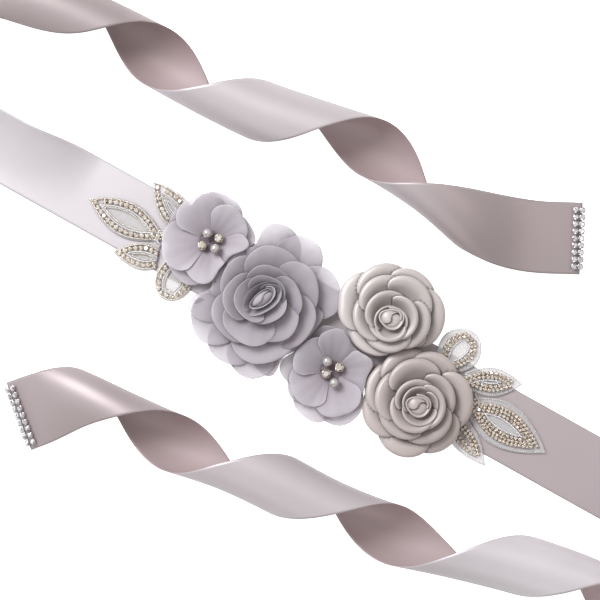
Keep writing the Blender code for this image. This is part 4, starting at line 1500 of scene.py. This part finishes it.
@dataclass(frozen=True)
class Flower:
    """A flower of one cloth: its rings, and for a rose its bud and heart."""

    name: str
    x: float
    y: float
    reach: float
    cloth: Cloth
    rings: tuple[Ring, ...]
    heart: Heart | None = None
    bud: Bud | None = None
    tone: float = 1.0
    finish: str = "chiffon"
    shade: float = 0.0                  # how much lighter the lower petals are painted
    rows: int = 16
    columns: int = 28

    def level(self, shape: Ring) -> int:
        """Count of rings outside one, which may be the bud's."""
        return self.rings.index(shape) if shape in self.rings else len(self.rings)

    def ray_to(self, other: "Flower", radius: float, azimuth: float) -> float:
        """Distance from this flower's middle to a circle round another.

        Args:
            other: the flower inside the circle.
            radius: of the circle.
            azimuth: direction to measure in.

        Returns:
            The distance, or infinity where the circle isn't met.
        """
        direction = np.array([math.cos(azimuth), math.sin(azimuth)])
        offset = np.array([self.x - other.x, self.y - other.y])
        back = float(offset @ direction)
        inside = back * back - float(offset @ offset) + radius * radius
        if inside < 0 or -back - math.sqrt(inside) < 0:
            return math.inf
        return -back - math.sqrt(inside)

    def free_reach(self, azimuth: float) -> float:
        """How far this flower's petals may reach in a direction.

        Args:
            azimuth: the direction.

        Returns:
            The distance in mm, or infinity.
        """
        reach = math.inf
        for cover in COVERS:
            if cover.upper == self.name:
                other = FLOWERS[cover.lower]
                ray = self.ray_to(other, other.reach + COVER_GAP, azimuth)
                reach = min(reach, max(cover.radius, ray))
            if cover.lower == self.name:
                ray = self.ray_to(FLOWERS[cover.upper], cover.radius + COVER_GAP, azimuth)
                reach = min(reach, ray)
        return reach

    def petal_grid(self, shape: Ring, petal: Petal, rng: np.random.Generator) -> tuple:
        """Rows of points of one petal, and each point's distance from its edge.

        Args:
            shape: the ring it belongs to.
            petal: the petal.
            rng: source of the small folds.

        Returns:
            Points in metres about the ring's middle, and distances in mm.
        """
        root = shape.hub_radius - ROOT_UNDER
        up = np.sin(np.pi / 2 * np.arange(self.rows + 1) / self.rows)[:, None]
        across = np.sin(np.pi / 2 * (2 * np.arange(self.columns + 1) / self.columns - 1))[None, :]
        azimuth = np.radians(petal.azimuth + across * petal.spread)
        crown = np.sqrt(np.maximum(1 - across ** 2, 0))
        if shape is not self.rings[0]:
            crown = crown * (1 - 0.07 * (1 + rng.choice([-1, 1]) * across))
        limit = 1 - shape.lobe + shape.lobe * crown
        full = (petal.rim_radius - root) * limit[0]
        free = np.array([self.free_reach(a) for a in azimuth[0]]) - root
        rim = root + (petal.rim_radius - root) * soften(np.minimum(free / full, 1.0))
        rolled = np.maximum(up - ROLL_FROM, 0) / (1 - ROLL_FROM)
        reach = up * limit
        radius = root + (rim - root) * reach ** shape.opening
        height = shape.root_height + (petal.rim_height - shape.root_height) * reach ** shape.rise
        height = height + shape.tilt * across * np.minimum(reach * 2, 1)
        height = height - shape.roll * crown * (1 - np.sqrt(1 - rolled ** 2))
        phase = rng.uniform(0, math.tau, 3)
        if self.cloth is Cloth.SATIN:
            fold = 0.25 * np.sin(across * 4.0 + phase[0]) * reach
        else:
            fold = (0.75 * np.sin(across * 5.0 + phase[0]) * reach ** 2
                    + 0.34 * np.sin(across * 15.0 + phase[1]) * reach * (1.3 - reach)
                    + 0.30 * np.sin(across * 3.0 + 5 * reach + phase[2]) * reach)
            radius = radius + 0.5 * np.sin(across * 6.0 + phase[2]) * reach ** 2 * crown
        points = np.stack([radius * np.cos(azimuth), radius * np.sin(azimuth), height + fold], 2)
        to_rim = (limit - reach) * (rim - root)
        to_side = (1 - abs(across)) * np.radians(petal.spread) * radius
        return points * MM, np.minimum(to_rim, to_side)

    def borders(self, shape: Ring, petals: tuple[Petal, ...]) -> list[np.ndarray]:
        """Outlines of petals in plan.

        Args:
            shape: the petals' ring.
            petals: the petals.

        Returns:
            Outlines in mm about the flower's middle.
        """
        found = []
        for petal in petals:
            points = self.petal_grid(shape, petal, np.random.default_rng(0))[0][..., :2] / MM
            points += np.array([shape.shift_x, shape.shift_y])
            found.append(np.vstack([points[:, 0], points[-1], points[::-1, -1]]))
        return found

    def above(self, shape: Ring, petal: Petal) -> list[np.ndarray]:
        """Outlines of the petals that lie over one petal.

        Args:
            shape: the petal's ring.
            petal: the petal.

        Returns:
            Outlines in mm about the flower's middle.
        """
        order = sorted(shape.petals, key=lambda other: (petal.azimuth - other.azimuth) % 360)
        over = self.borders(shape, (order[1],))
        for upper in self.rings[self.level(shape) + 1:][:1]:
            over += self.borders(upper, upper.petals)
        return over

    def painted_depth_shade(self, points: np.ndarray, over: list[np.ndarray]) -> np.ndarray:
        """Painted shade of points next to or under the petals above them, from 0 to 1.

        Args:
            points: places in mm about the flower's middle.
            over: outlines of the petals above.

        Returns:
            One number for each point.
        """
        nearest = np.min([distance_outside(points[..., :2], border) for border in over], 0)
        shades = (self.cloth.value.shade_beside, self.cloth.value.around)
        return np.maximum(*(share * np.exp(-nearest / reach) for share, reach in shades))

    def build_ring(self, shape: Ring, material: Material) -> None:
        """Make one ring of petals with its gathered middle, and the bud in the last ring.

        Args:
            shape: the ring.
            material: its cloth.
        """
        rng = name_seed(self.name + shape.name)
        sketch = MeshSketch()
        drawn = [(shape, petal) for petal in shape.petals]
        if self.bud is not None and shape is self.rings[-1]:
            drawn += [(self.bud.ring, petal) for petal in self.bud.ring.petals]
        cut = [self.draw_petal(sketch, *one, rng) for one in drawn]
        self.draw_middle(sketch, shape)
        name = f"{self.name}_{shape.name}"
        thing = sketch.build(name + "_petals", [material], weld=0.002 * MM)
        self.declare(thing, name)

    def declare(self, thing: Piece, name: str) -> None:
        """Args:
            thing: the piece.
            name: the node that it replaces.
        """
        add_wall(thing, self.cloth.value.wall)
        settle(thing, self.cloth.value.slot, name)

    def draw_petal(self, sketch: MeshSketch, shape: Ring, petal: Petal,
                   rng: np.random.Generator) -> tuple[float, float]:
        """Draw one petal.

        Args:
            sketch: what to draw into.
            shape: the petal's ring, or the bud's.
            petal: the petal.
            rng: source of its folds and tone.

        Returns:
            Length and width of the cloth it is cut from.
        """
        handling = self.cloth.value
        points, edge = self.petal_grid(shape, petal, rng)
        painted_shade_mark = self.painted_depth_shade(points / MM + np.array([shape.shift_x, shape.shift_y, 0.0]),
                          self.above(shape, petal))
        # painted shade rising towards the petal's root
        share = np.linspace(1, 0, self.rows + 1)[:, None] ** 1.5
        painted_shade_mark = np.maximum(painted_shade_mark, handling.shade_at_root * share)
        # random tone per petal, painted shade for inner rings, painted light on the lit side
        tone = self.tone * rng.uniform(0.97, 1.03) * (1.08 - handling.shade_per_ring * self.level(shape))
        tone += self.shade * math.cos(math.radians(petal.azimuth - LIGHT_FROM))
        middle = np.array([self.x + shape.shift_x, self.y + shape.shift_y, 0.0]) * MM
        if self.bud is not None and shape is self.bud.ring:
            points = self.bud.shape(points)
            middle = np.array([self.bud.x, self.bud.y, 0.0]) * MM
        sketch.add_grid(points + middle, np.stack([edge, painted_shade_mark, np.full_like(edge, tone)], 2))
        return (path_length(points[:, self.columns // 2]),
                path_length(points[int(self.rows * ROLL_FROM)]))

    def draw_middle(self, sketch: MeshSketch, shape: Ring) -> None:
        """Draw the gathered cloth inside the roots of the petals.

        Args:
            sketch: what to draw into.
            shape: the petals' ring.
        """
        radii = np.linspace(0.3, shape.hub_radius - 1.2, 7)
        angles = np.arange(48) * math.tau / 48
        r_grid, a_grid = np.meshgrid(radii, angles, indexing="ij")
        pleat = 0.25 * np.sin(a_grid * 12) * r_grid / radii[-1]
        height = shape.root_height + 0.1 + pleat - 0.5 * (1 - r_grid / radii[-1])
        rows = np.stack([self.x + shape.shift_x + r_grid * np.cos(a_grid),
                         self.y + shape.shift_y + r_grid * np.sin(a_grid), height], 2) * MM
        # the gathered middle carries painted shade of 0.9
        marks = np.full(rows.shape, (CLEAR_OF_EDGES, 0.9, 1.0))
        sketch.add_grid(rows, marks, closed=True)

    def build_heart(self, material: Material) -> None:
        """Make the wound heart: one strip in a spiral, folded to three sides, and two flaps.

        Args:
            material: its cloth.
        """
        heart = self.heart
        axis = math.radians(heart.axis)
        along = np.array([math.cos(axis), math.sin(axis), 0])
        side = np.array([-along[1], along[0], 0]) * heart.narrow
        t = np.linspace(0, 1, 150)[:, None]
        turn = math.tau * heart.turns * t
        sides = 1 - self.cloth.value.drawn_in * (1 + np.cos(3 * turn + 0.6)) * (1 - t / 2)
        outward = ((along * np.cos(turn) + side * np.sin(turn)) * sides * heart.radius
                   * (0.76 + 0.24 * t ** 0.9))
        foot = 1 - (1 - heart.foot) * np.minimum(t * 1.3, 1.0)
        top = heart.high - 1.4 * t
        shares = np.linspace(0, 1, 11)
        rows = [outward * (foot + (1 - foot) * share ** 1.4)
                + UP * (heart.low + (top - heart.low) * share) for share in shares]
        # painted shade, darkest at the heart's foot; the satin brim darker as it rolls down
        painted_shade_mark = list((1 - shares) ** 0.7)
        if self.cloth is Cloth.SATIN:
            brim, ahead = rows[-1], unit(outward)
            rows += [brim + 0.25 * (ahead * math.sin(angle) - UP * (1 - math.cos(angle)))
                     for angle in np.radians((50, 100, 150, 200))]
            painted_shade_mark += [0.1, 0.2, 0.3, 0.4]
        grid = (np.array(rows) + np.array([heart.x, heart.y, 0])) * MM
        marks = np.ones(grid.shape)
        marks[..., 0] = np.linspace(5.0, 0.0, len(rows))[:, None]
        marks[..., 1] = np.array(painted_shade_mark)[:, None]
        sketch = MeshSketch()
        sketch.add_grid(grid, marks)
        for turned, lift in ((0.0, 0.5), (176.0, -0.6)):
            self.draw_flap(sketch, heart.hood + turned, lift)
        name = self.name + "_heart"
        thing = sketch.build(name + "_cloth", [material])
        self.declare(thing, name)

    def draw_flap(self, sketch: MeshSketch, azimuth: float, lift: float) -> None:
        """Draw a flap of cloth that is folded over one side of the heart.

        Args:
            sketch: what to draw into.
            azimuth: of the flap's middle, in degrees.
            lift: height of its tip over the heart's top, in mm.
        """
        heart, spread = self.heart, 1.5
        across = np.linspace(-1, 1, 33)[None, :]
        rise = np.linspace(0, math.pi / 2, 25)[:, None]
        angle = math.radians(azimuth) + across * spread + 0.9 * np.sin(rise) ** 3
        reach = heart.radius * (0.03 + 0.76 * np.cos(rise)) * np.ones_like(across)
        fold = 0.3 * np.sin(across * 3.0 + 2.0 * rise) * np.cos(rise)
        droop = 0.8 * across ** 4 * np.sin(rise) ** 2 * np.cos(rise) ** 0.5
        height = (heart.low + (heart.high + lift - heart.low) * np.sin(rise) ** 0.6 + fold - droop
                  + 0.4 * across * np.sin(rise) * np.cos(rise) ** 0.3)
        axis = math.radians(heart.axis)
        ahead = reach * np.cos(angle - axis)
        aside = reach * np.sin(angle - axis) * heart.narrow
        points = np.stack([heart.x + ahead * math.cos(axis) - aside * math.sin(axis),
                           heart.y + ahead * math.sin(axis) + aside * math.cos(axis), height], 2)
        edge = (1 - abs(across)) * spread * reach
        trailing = np.maximum((1 - abs(across)) * spread - 0.1, 0) * reach + 2.0 * (lift > 0)
        # painted shade at the flap's foot, near the heart's middle and along the upper flap's edge
        painted_shade_mark = np.maximum(np.maximum(0.8 * np.cos(rise) ** 6, 0.45 * np.exp(-reach / 0.8)),
                          0.75 * np.exp(-trailing / 0.6))
        sketch.add_grid(points * MM, np.stack([edge, painted_shade_mark, np.full_like(edge, self.tone)], 2))

    def build(self, made: dict[str, Material]) -> None:
        """Make every ring of the flower, and its heart.

        Args:
            made: materials by name.
        """
        for shape in self.rings:
            self.build_ring(shape, made[self.finish])
        if self.heart is not None:
            self.build_heart(made[self.finish])


FLOWERS = {flower.name: flower for flower in (
    Flower("chiffon_rose", -20.3, -4.7, 41.5, Cloth.CHIFFON, CHIFFON_ROSE,
           Heart(-21.2, -4.2, 9.4, 67.0, 0.50, 0.55, 1.15, 18.0, 25.5, 157.0), ROSE_BUD,
           shade=0.08),
    Flower("satin_rose_a", 44.5, 24.5, 29.5, Cloth.SATIN, SATIN_ROSE_A,
           Heart(45.6, 20.6, 7.6, 20.0, 0.85, 0.40, 1.3, 17.7, 22.4, 150.0), SATIN_A_BUD,
           finish="satin"),
    # rose B: darker, warmer satin and tone 0.95, painted shade over the whole rose
    Flower("satin_rose_b", 81.0, -11.7, 32.0, Cloth.SATIN, SATIN_ROSE_B,
           Heart(81.6, -14.0, 7.6, 15.0, 0.85, 0.40, 1.3, 17.7, 22.4, 130.0), SATIN_B_BUD, 0.95,
           "shaded_satin"),
    Flower("chiffon_flower_a", -61.7, 9.1, 28.0, Cloth.CHIFFON, CHIFFON_FLOWER_A, tone=1.18,
           shade=0.08),
    Flower("chiffon_flower_b", 31.4, -21.0, 29.5, Cloth.CHIFFON, CHIFFON_FLOWER_B, tone=1.06,
           shade=0.18))}


# ---------------------------------------------------------------- trims, pearls and stones


@dataclass
class EndTrim:
    """Prong-set crystals in two columns on a cut end of the ribbon."""

    name: str
    tail: Tail
    columns: int = 2
    rows: int = 9
    pitch: float = 3.8 * MM
    column_pitch: float = 3.4 * MM
    spread: float = 1.03                # of the rows, past their pitch
    overhang: float = 1.6 * MM          # of the strip over the cut end
    lift: float = 1.1 * MM
    crystal: CutStone = CutStone(1.75 * MM, 1.9 * MM)

    def build(self, made: dict[str, Material]) -> None:
        """Make the crystals and their cups.

        Args:
            made: materials by name.
        """
        sketch = MeshSketch()
        rng = np.random.default_rng(11 if self.tail.turned else 7)
        end = self.tail.length + self.overhang - self.pitch / 2
        for column in range(self.columns):
            s = end - self.column_pitch * column
            for k in range(self.rows):
                v = self.pitch * (k - (self.rows - 1) / 2) * self.spread
                up = self.tail.face(s, v)
                place = self.tail.row(s, np.array([v]))[0] + up * self.lift
                ahead = self.tail.row(s, np.array([v + 1 * MM]))[0] - place
                self.crystal.draw(sketch, frame_at(place, up, ahead), rng)
        thing = sketch.build(self.name + "_stones", [made["clear"], made["steel"]])
        settle(thing, "crystal", self.name)


@dataclass(frozen=True)
class Pearl:
    """A pearl with its drilled hole on top; its place in mm."""

    name: str
    x: float
    y: float
    seat: float = 9.2 * MM
    radius: float = 2.8 * MM
    hole: float = 0.12                  # radius of the hole, as a share of the pearl's
    tilt: float = 0.5                   # of the hole, in radians

    def build(self, made: dict[str, Material]) -> None:
        """Make the pearl.

        Args:
            made: materials by name.
        """
        angles = np.linspace(self.hole, math.pi - self.hole, 18)
        ball = [(math.sin(angle), 1 - math.cos(angle)) for angle in angles]
        points, faces = turned_template(((self.hole, 0.5), *ball, (self.hole, 1.5)), 32,
                                        self.radius, self.radius)
        tilt = np.array(Matrix.Rotation(self.tilt, 3, "X"))
        centre = UP * self.radius
        place = np.array([self.x * MM, self.y * MM, self.seat])
        sketch = MeshSketch()
        sketch.add((points - centre) @ tilt.T + centre + place, faces)
        settle(sketch.build(self.name + "_bead", [made["pearl"]]), "pearl", self.name)


@dataclass(frozen=True)
class Rhinestone:
    """A larger stone in its cup at a flower's middle; its place in mm."""

    name: str
    x: float
    y: float
    seat: float = 9.2 * MM
    stone: CutStone = CutStone(2.55 * MM, 3.1 * MM, 10, 0.7)

    def build(self, made: dict[str, Material]) -> None:
        """Make the stone and its cup.

        Args:
            made: materials by name.
        """
        sketch = MeshSketch()
        rng = np.random.default_rng(round(abs(self.x) * 10))
        place = np.array([self.x * MM, self.y * MM, self.seat])
        self.stone.draw(sketch, frame_at(place, UP, np.array([1.0, 0.4, 0.0])), rng)
        thing = sketch.build(self.name + "_in_cup", [made["champagne"], made["cup"]])
        settle(thing, "crystal", self.name)


# ---------------------------------------------------------------- studio


@dataclass(frozen=True)
class Lamp:
    """A soft square light; its place is seen from above, to the right and to the top."""

    name: str
    right: float
    top: float
    height: float
    size: float
    power: float                        # in watts
    tint: Colour


LAMPS = (Lamp("key", -0.75, 0.8, 1.15, 0.75, 27.0, (0.94, 0.98, 1.0)),
         Lamp("left", -1.1, -0.2, 0.9, 1.3, 2.3, (0.86, 0.95, 1.0)),
         Lamp("fill", 1.2, 0.3, 1.2, 1.2, 4.0, (1.0, 0.91, 0.88)),
         Lamp("low", -0.3, -1.3, 0.9, 1.0, 3.0, (1.0, 0.97, 0.95)))


@dataclass
class Studio:
    """Pale floor, soft lights and the camera."""

    turn: float = math.radians(29.17)   # of the view about the vertical
    height: float = 1.25                # of the camera
    aim: tuple[float, float] = (-2.84 * MM, 5.09 * MM)
    view_width: float = 0.33336
    sensor: float = 36.0                # in mm
    floor_size: float = 6.0             # from its middle to its side
    world_strength: float = 0.38
    world_tint: Colour = (1.0, 0.985, 0.985)

    def axes(self) -> tuple[Vector, Vector]:
        """Right and top of the view, in the row frame."""
        return (Vector((math.cos(self.turn), math.sin(self.turn), 0)),
                Vector((-math.sin(self.turn), math.cos(self.turn), 0)))

    def add(self, name: str, data: bpy.types.ID) -> Piece:
        """Put a thing of the studio into the scene.

        Args:
            name: of the thing.
            data: its mesh, light or camera.

        Returns:
            The object.
        """
        thing = bpy.data.objects.new(name, data)
        bpy.context.scene.collection.objects.link(thing)
        return thing

    def build_floor(self) -> None:
        """Make the floor that everything lies on."""
        shape = bmesh.new()
        bmesh.ops.create_grid(shape, x_segments=8, y_segments=8, size=self.floor_size)
        mesh = bpy.data.meshes.new("floor")
        shape.to_mesh(mesh)
        shape.free()
        coat = Coat("pale_floor")
        seen = coat.add("LightPath").outputs["Is Camera Ray"]
        coat.dress(Base_Color=(0.9, 0.9, 0.9, 1), Roughness=0.8,
                   Emission_Color=(1, 1, 1, 1), Emission_Strength=seen)
        mesh.materials.append(coat.material)
        self.add("floor", mesh)

    def build_lamp(self, lamp: Lamp) -> None:
        """Add a light aimed at the middle of the sash.

        Args:
            lamp: the light.
        """
        data = bpy.data.lights.new(lamp.name, "AREA")
        data.shape, data.size, data.energy, data.color = "SQUARE", lamp.size, lamp.power, lamp.tint
        thing = self.add(lamp.name, data)
        right, top = self.axes()
        thing.location = right * lamp.right + top * lamp.top + Vector((0, 0, lamp.height))
        thing.rotation_mode = "QUATERNION"
        thing.rotation_quaternion = (-thing.location).to_track_quat("-Z", "Y")

    def build_camera(self) -> None:
        """Add the camera over the sash, looking straight down."""
        data = bpy.data.cameras.new("camera")
        data.sensor_width = self.sensor
        data.lens = self.sensor * self.height / self.view_width
        data.clip_start, data.clip_end = 0.01, 20.0
        camera = self.add("camera", data)
        matrix = Matrix((*self.axes(), Vector((0, 0, 1)))).transposed().to_4x4()
        matrix.translation = Vector((*self.aim, self.height))
        camera.matrix_world = matrix
        bpy.context.scene.camera = camera

    def build(self) -> None:
        """Set up floor, lights, world and camera."""
        self.build_floor()
        for lamp in LAMPS:
            self.build_lamp(lamp)
        world = bpy.data.worlds.new("studio")
        bpy.context.scene.world = world
        world.use_nodes = True
        Graph(world.node_tree).feed(world.node_tree.nodes["Background"],
                                    Color=(*self.world_tint, 1.0), Strength=self.world_strength)
        self.build_camera()
        bpy.context.scene.view_settings.view_transform = "Standard"


PEARLS = ((-65.3, 12.4), (-57.4, 7.0), (26.8, -17.2), (35.9, -25.5))
RHINESTONES = ((-64.6, 5.0), (-58.4, 13.0), (29.5, -23.3), (34.2, -16.8))


def main() -> None:
    """Build every piece of the sash and the studio round it."""
    logging.basicConfig(level=logging.INFO, format="%(name)s %(message)s")
    make_weave()
    make_mottle()
    made = {key: finish.material() for key, finish in FINISHES.items()}
    Studio().build()
    Waist().build(made)
    # last two numbers per tail: painted tone where its curl begins, and how far along
    for side, turn_x, run, stations, *tone in (
            ("upper", UPPER_TURN, 68.0 * MM, UPPER_STATIONS, 0.7, 150 * MM),
            ("lower", -LOWER_TURN, 57.1 * MM, LOWER_STATIONS, 1.3, 230 * MM)):
        tail = Tail("ribbon_tail_" + side, turn_x, run, stations, side == "lower", *tone)
        tail.build(made)
        EndTrim("end_trim_" + side, tail).build(made)
    for piece in (*LEAVES, *FLOWERS.values()):
        piece.build(made)
    for k, place in enumerate(PEARLS, 1):
        Pearl(f"pearl_{k}", *place).build(made)
    for k, place in enumerate(RHINESTONES, 1):
        Rhinestone(f"rhinestone_{k}", *place).build(made)


if __name__ == "__main__":
    main()
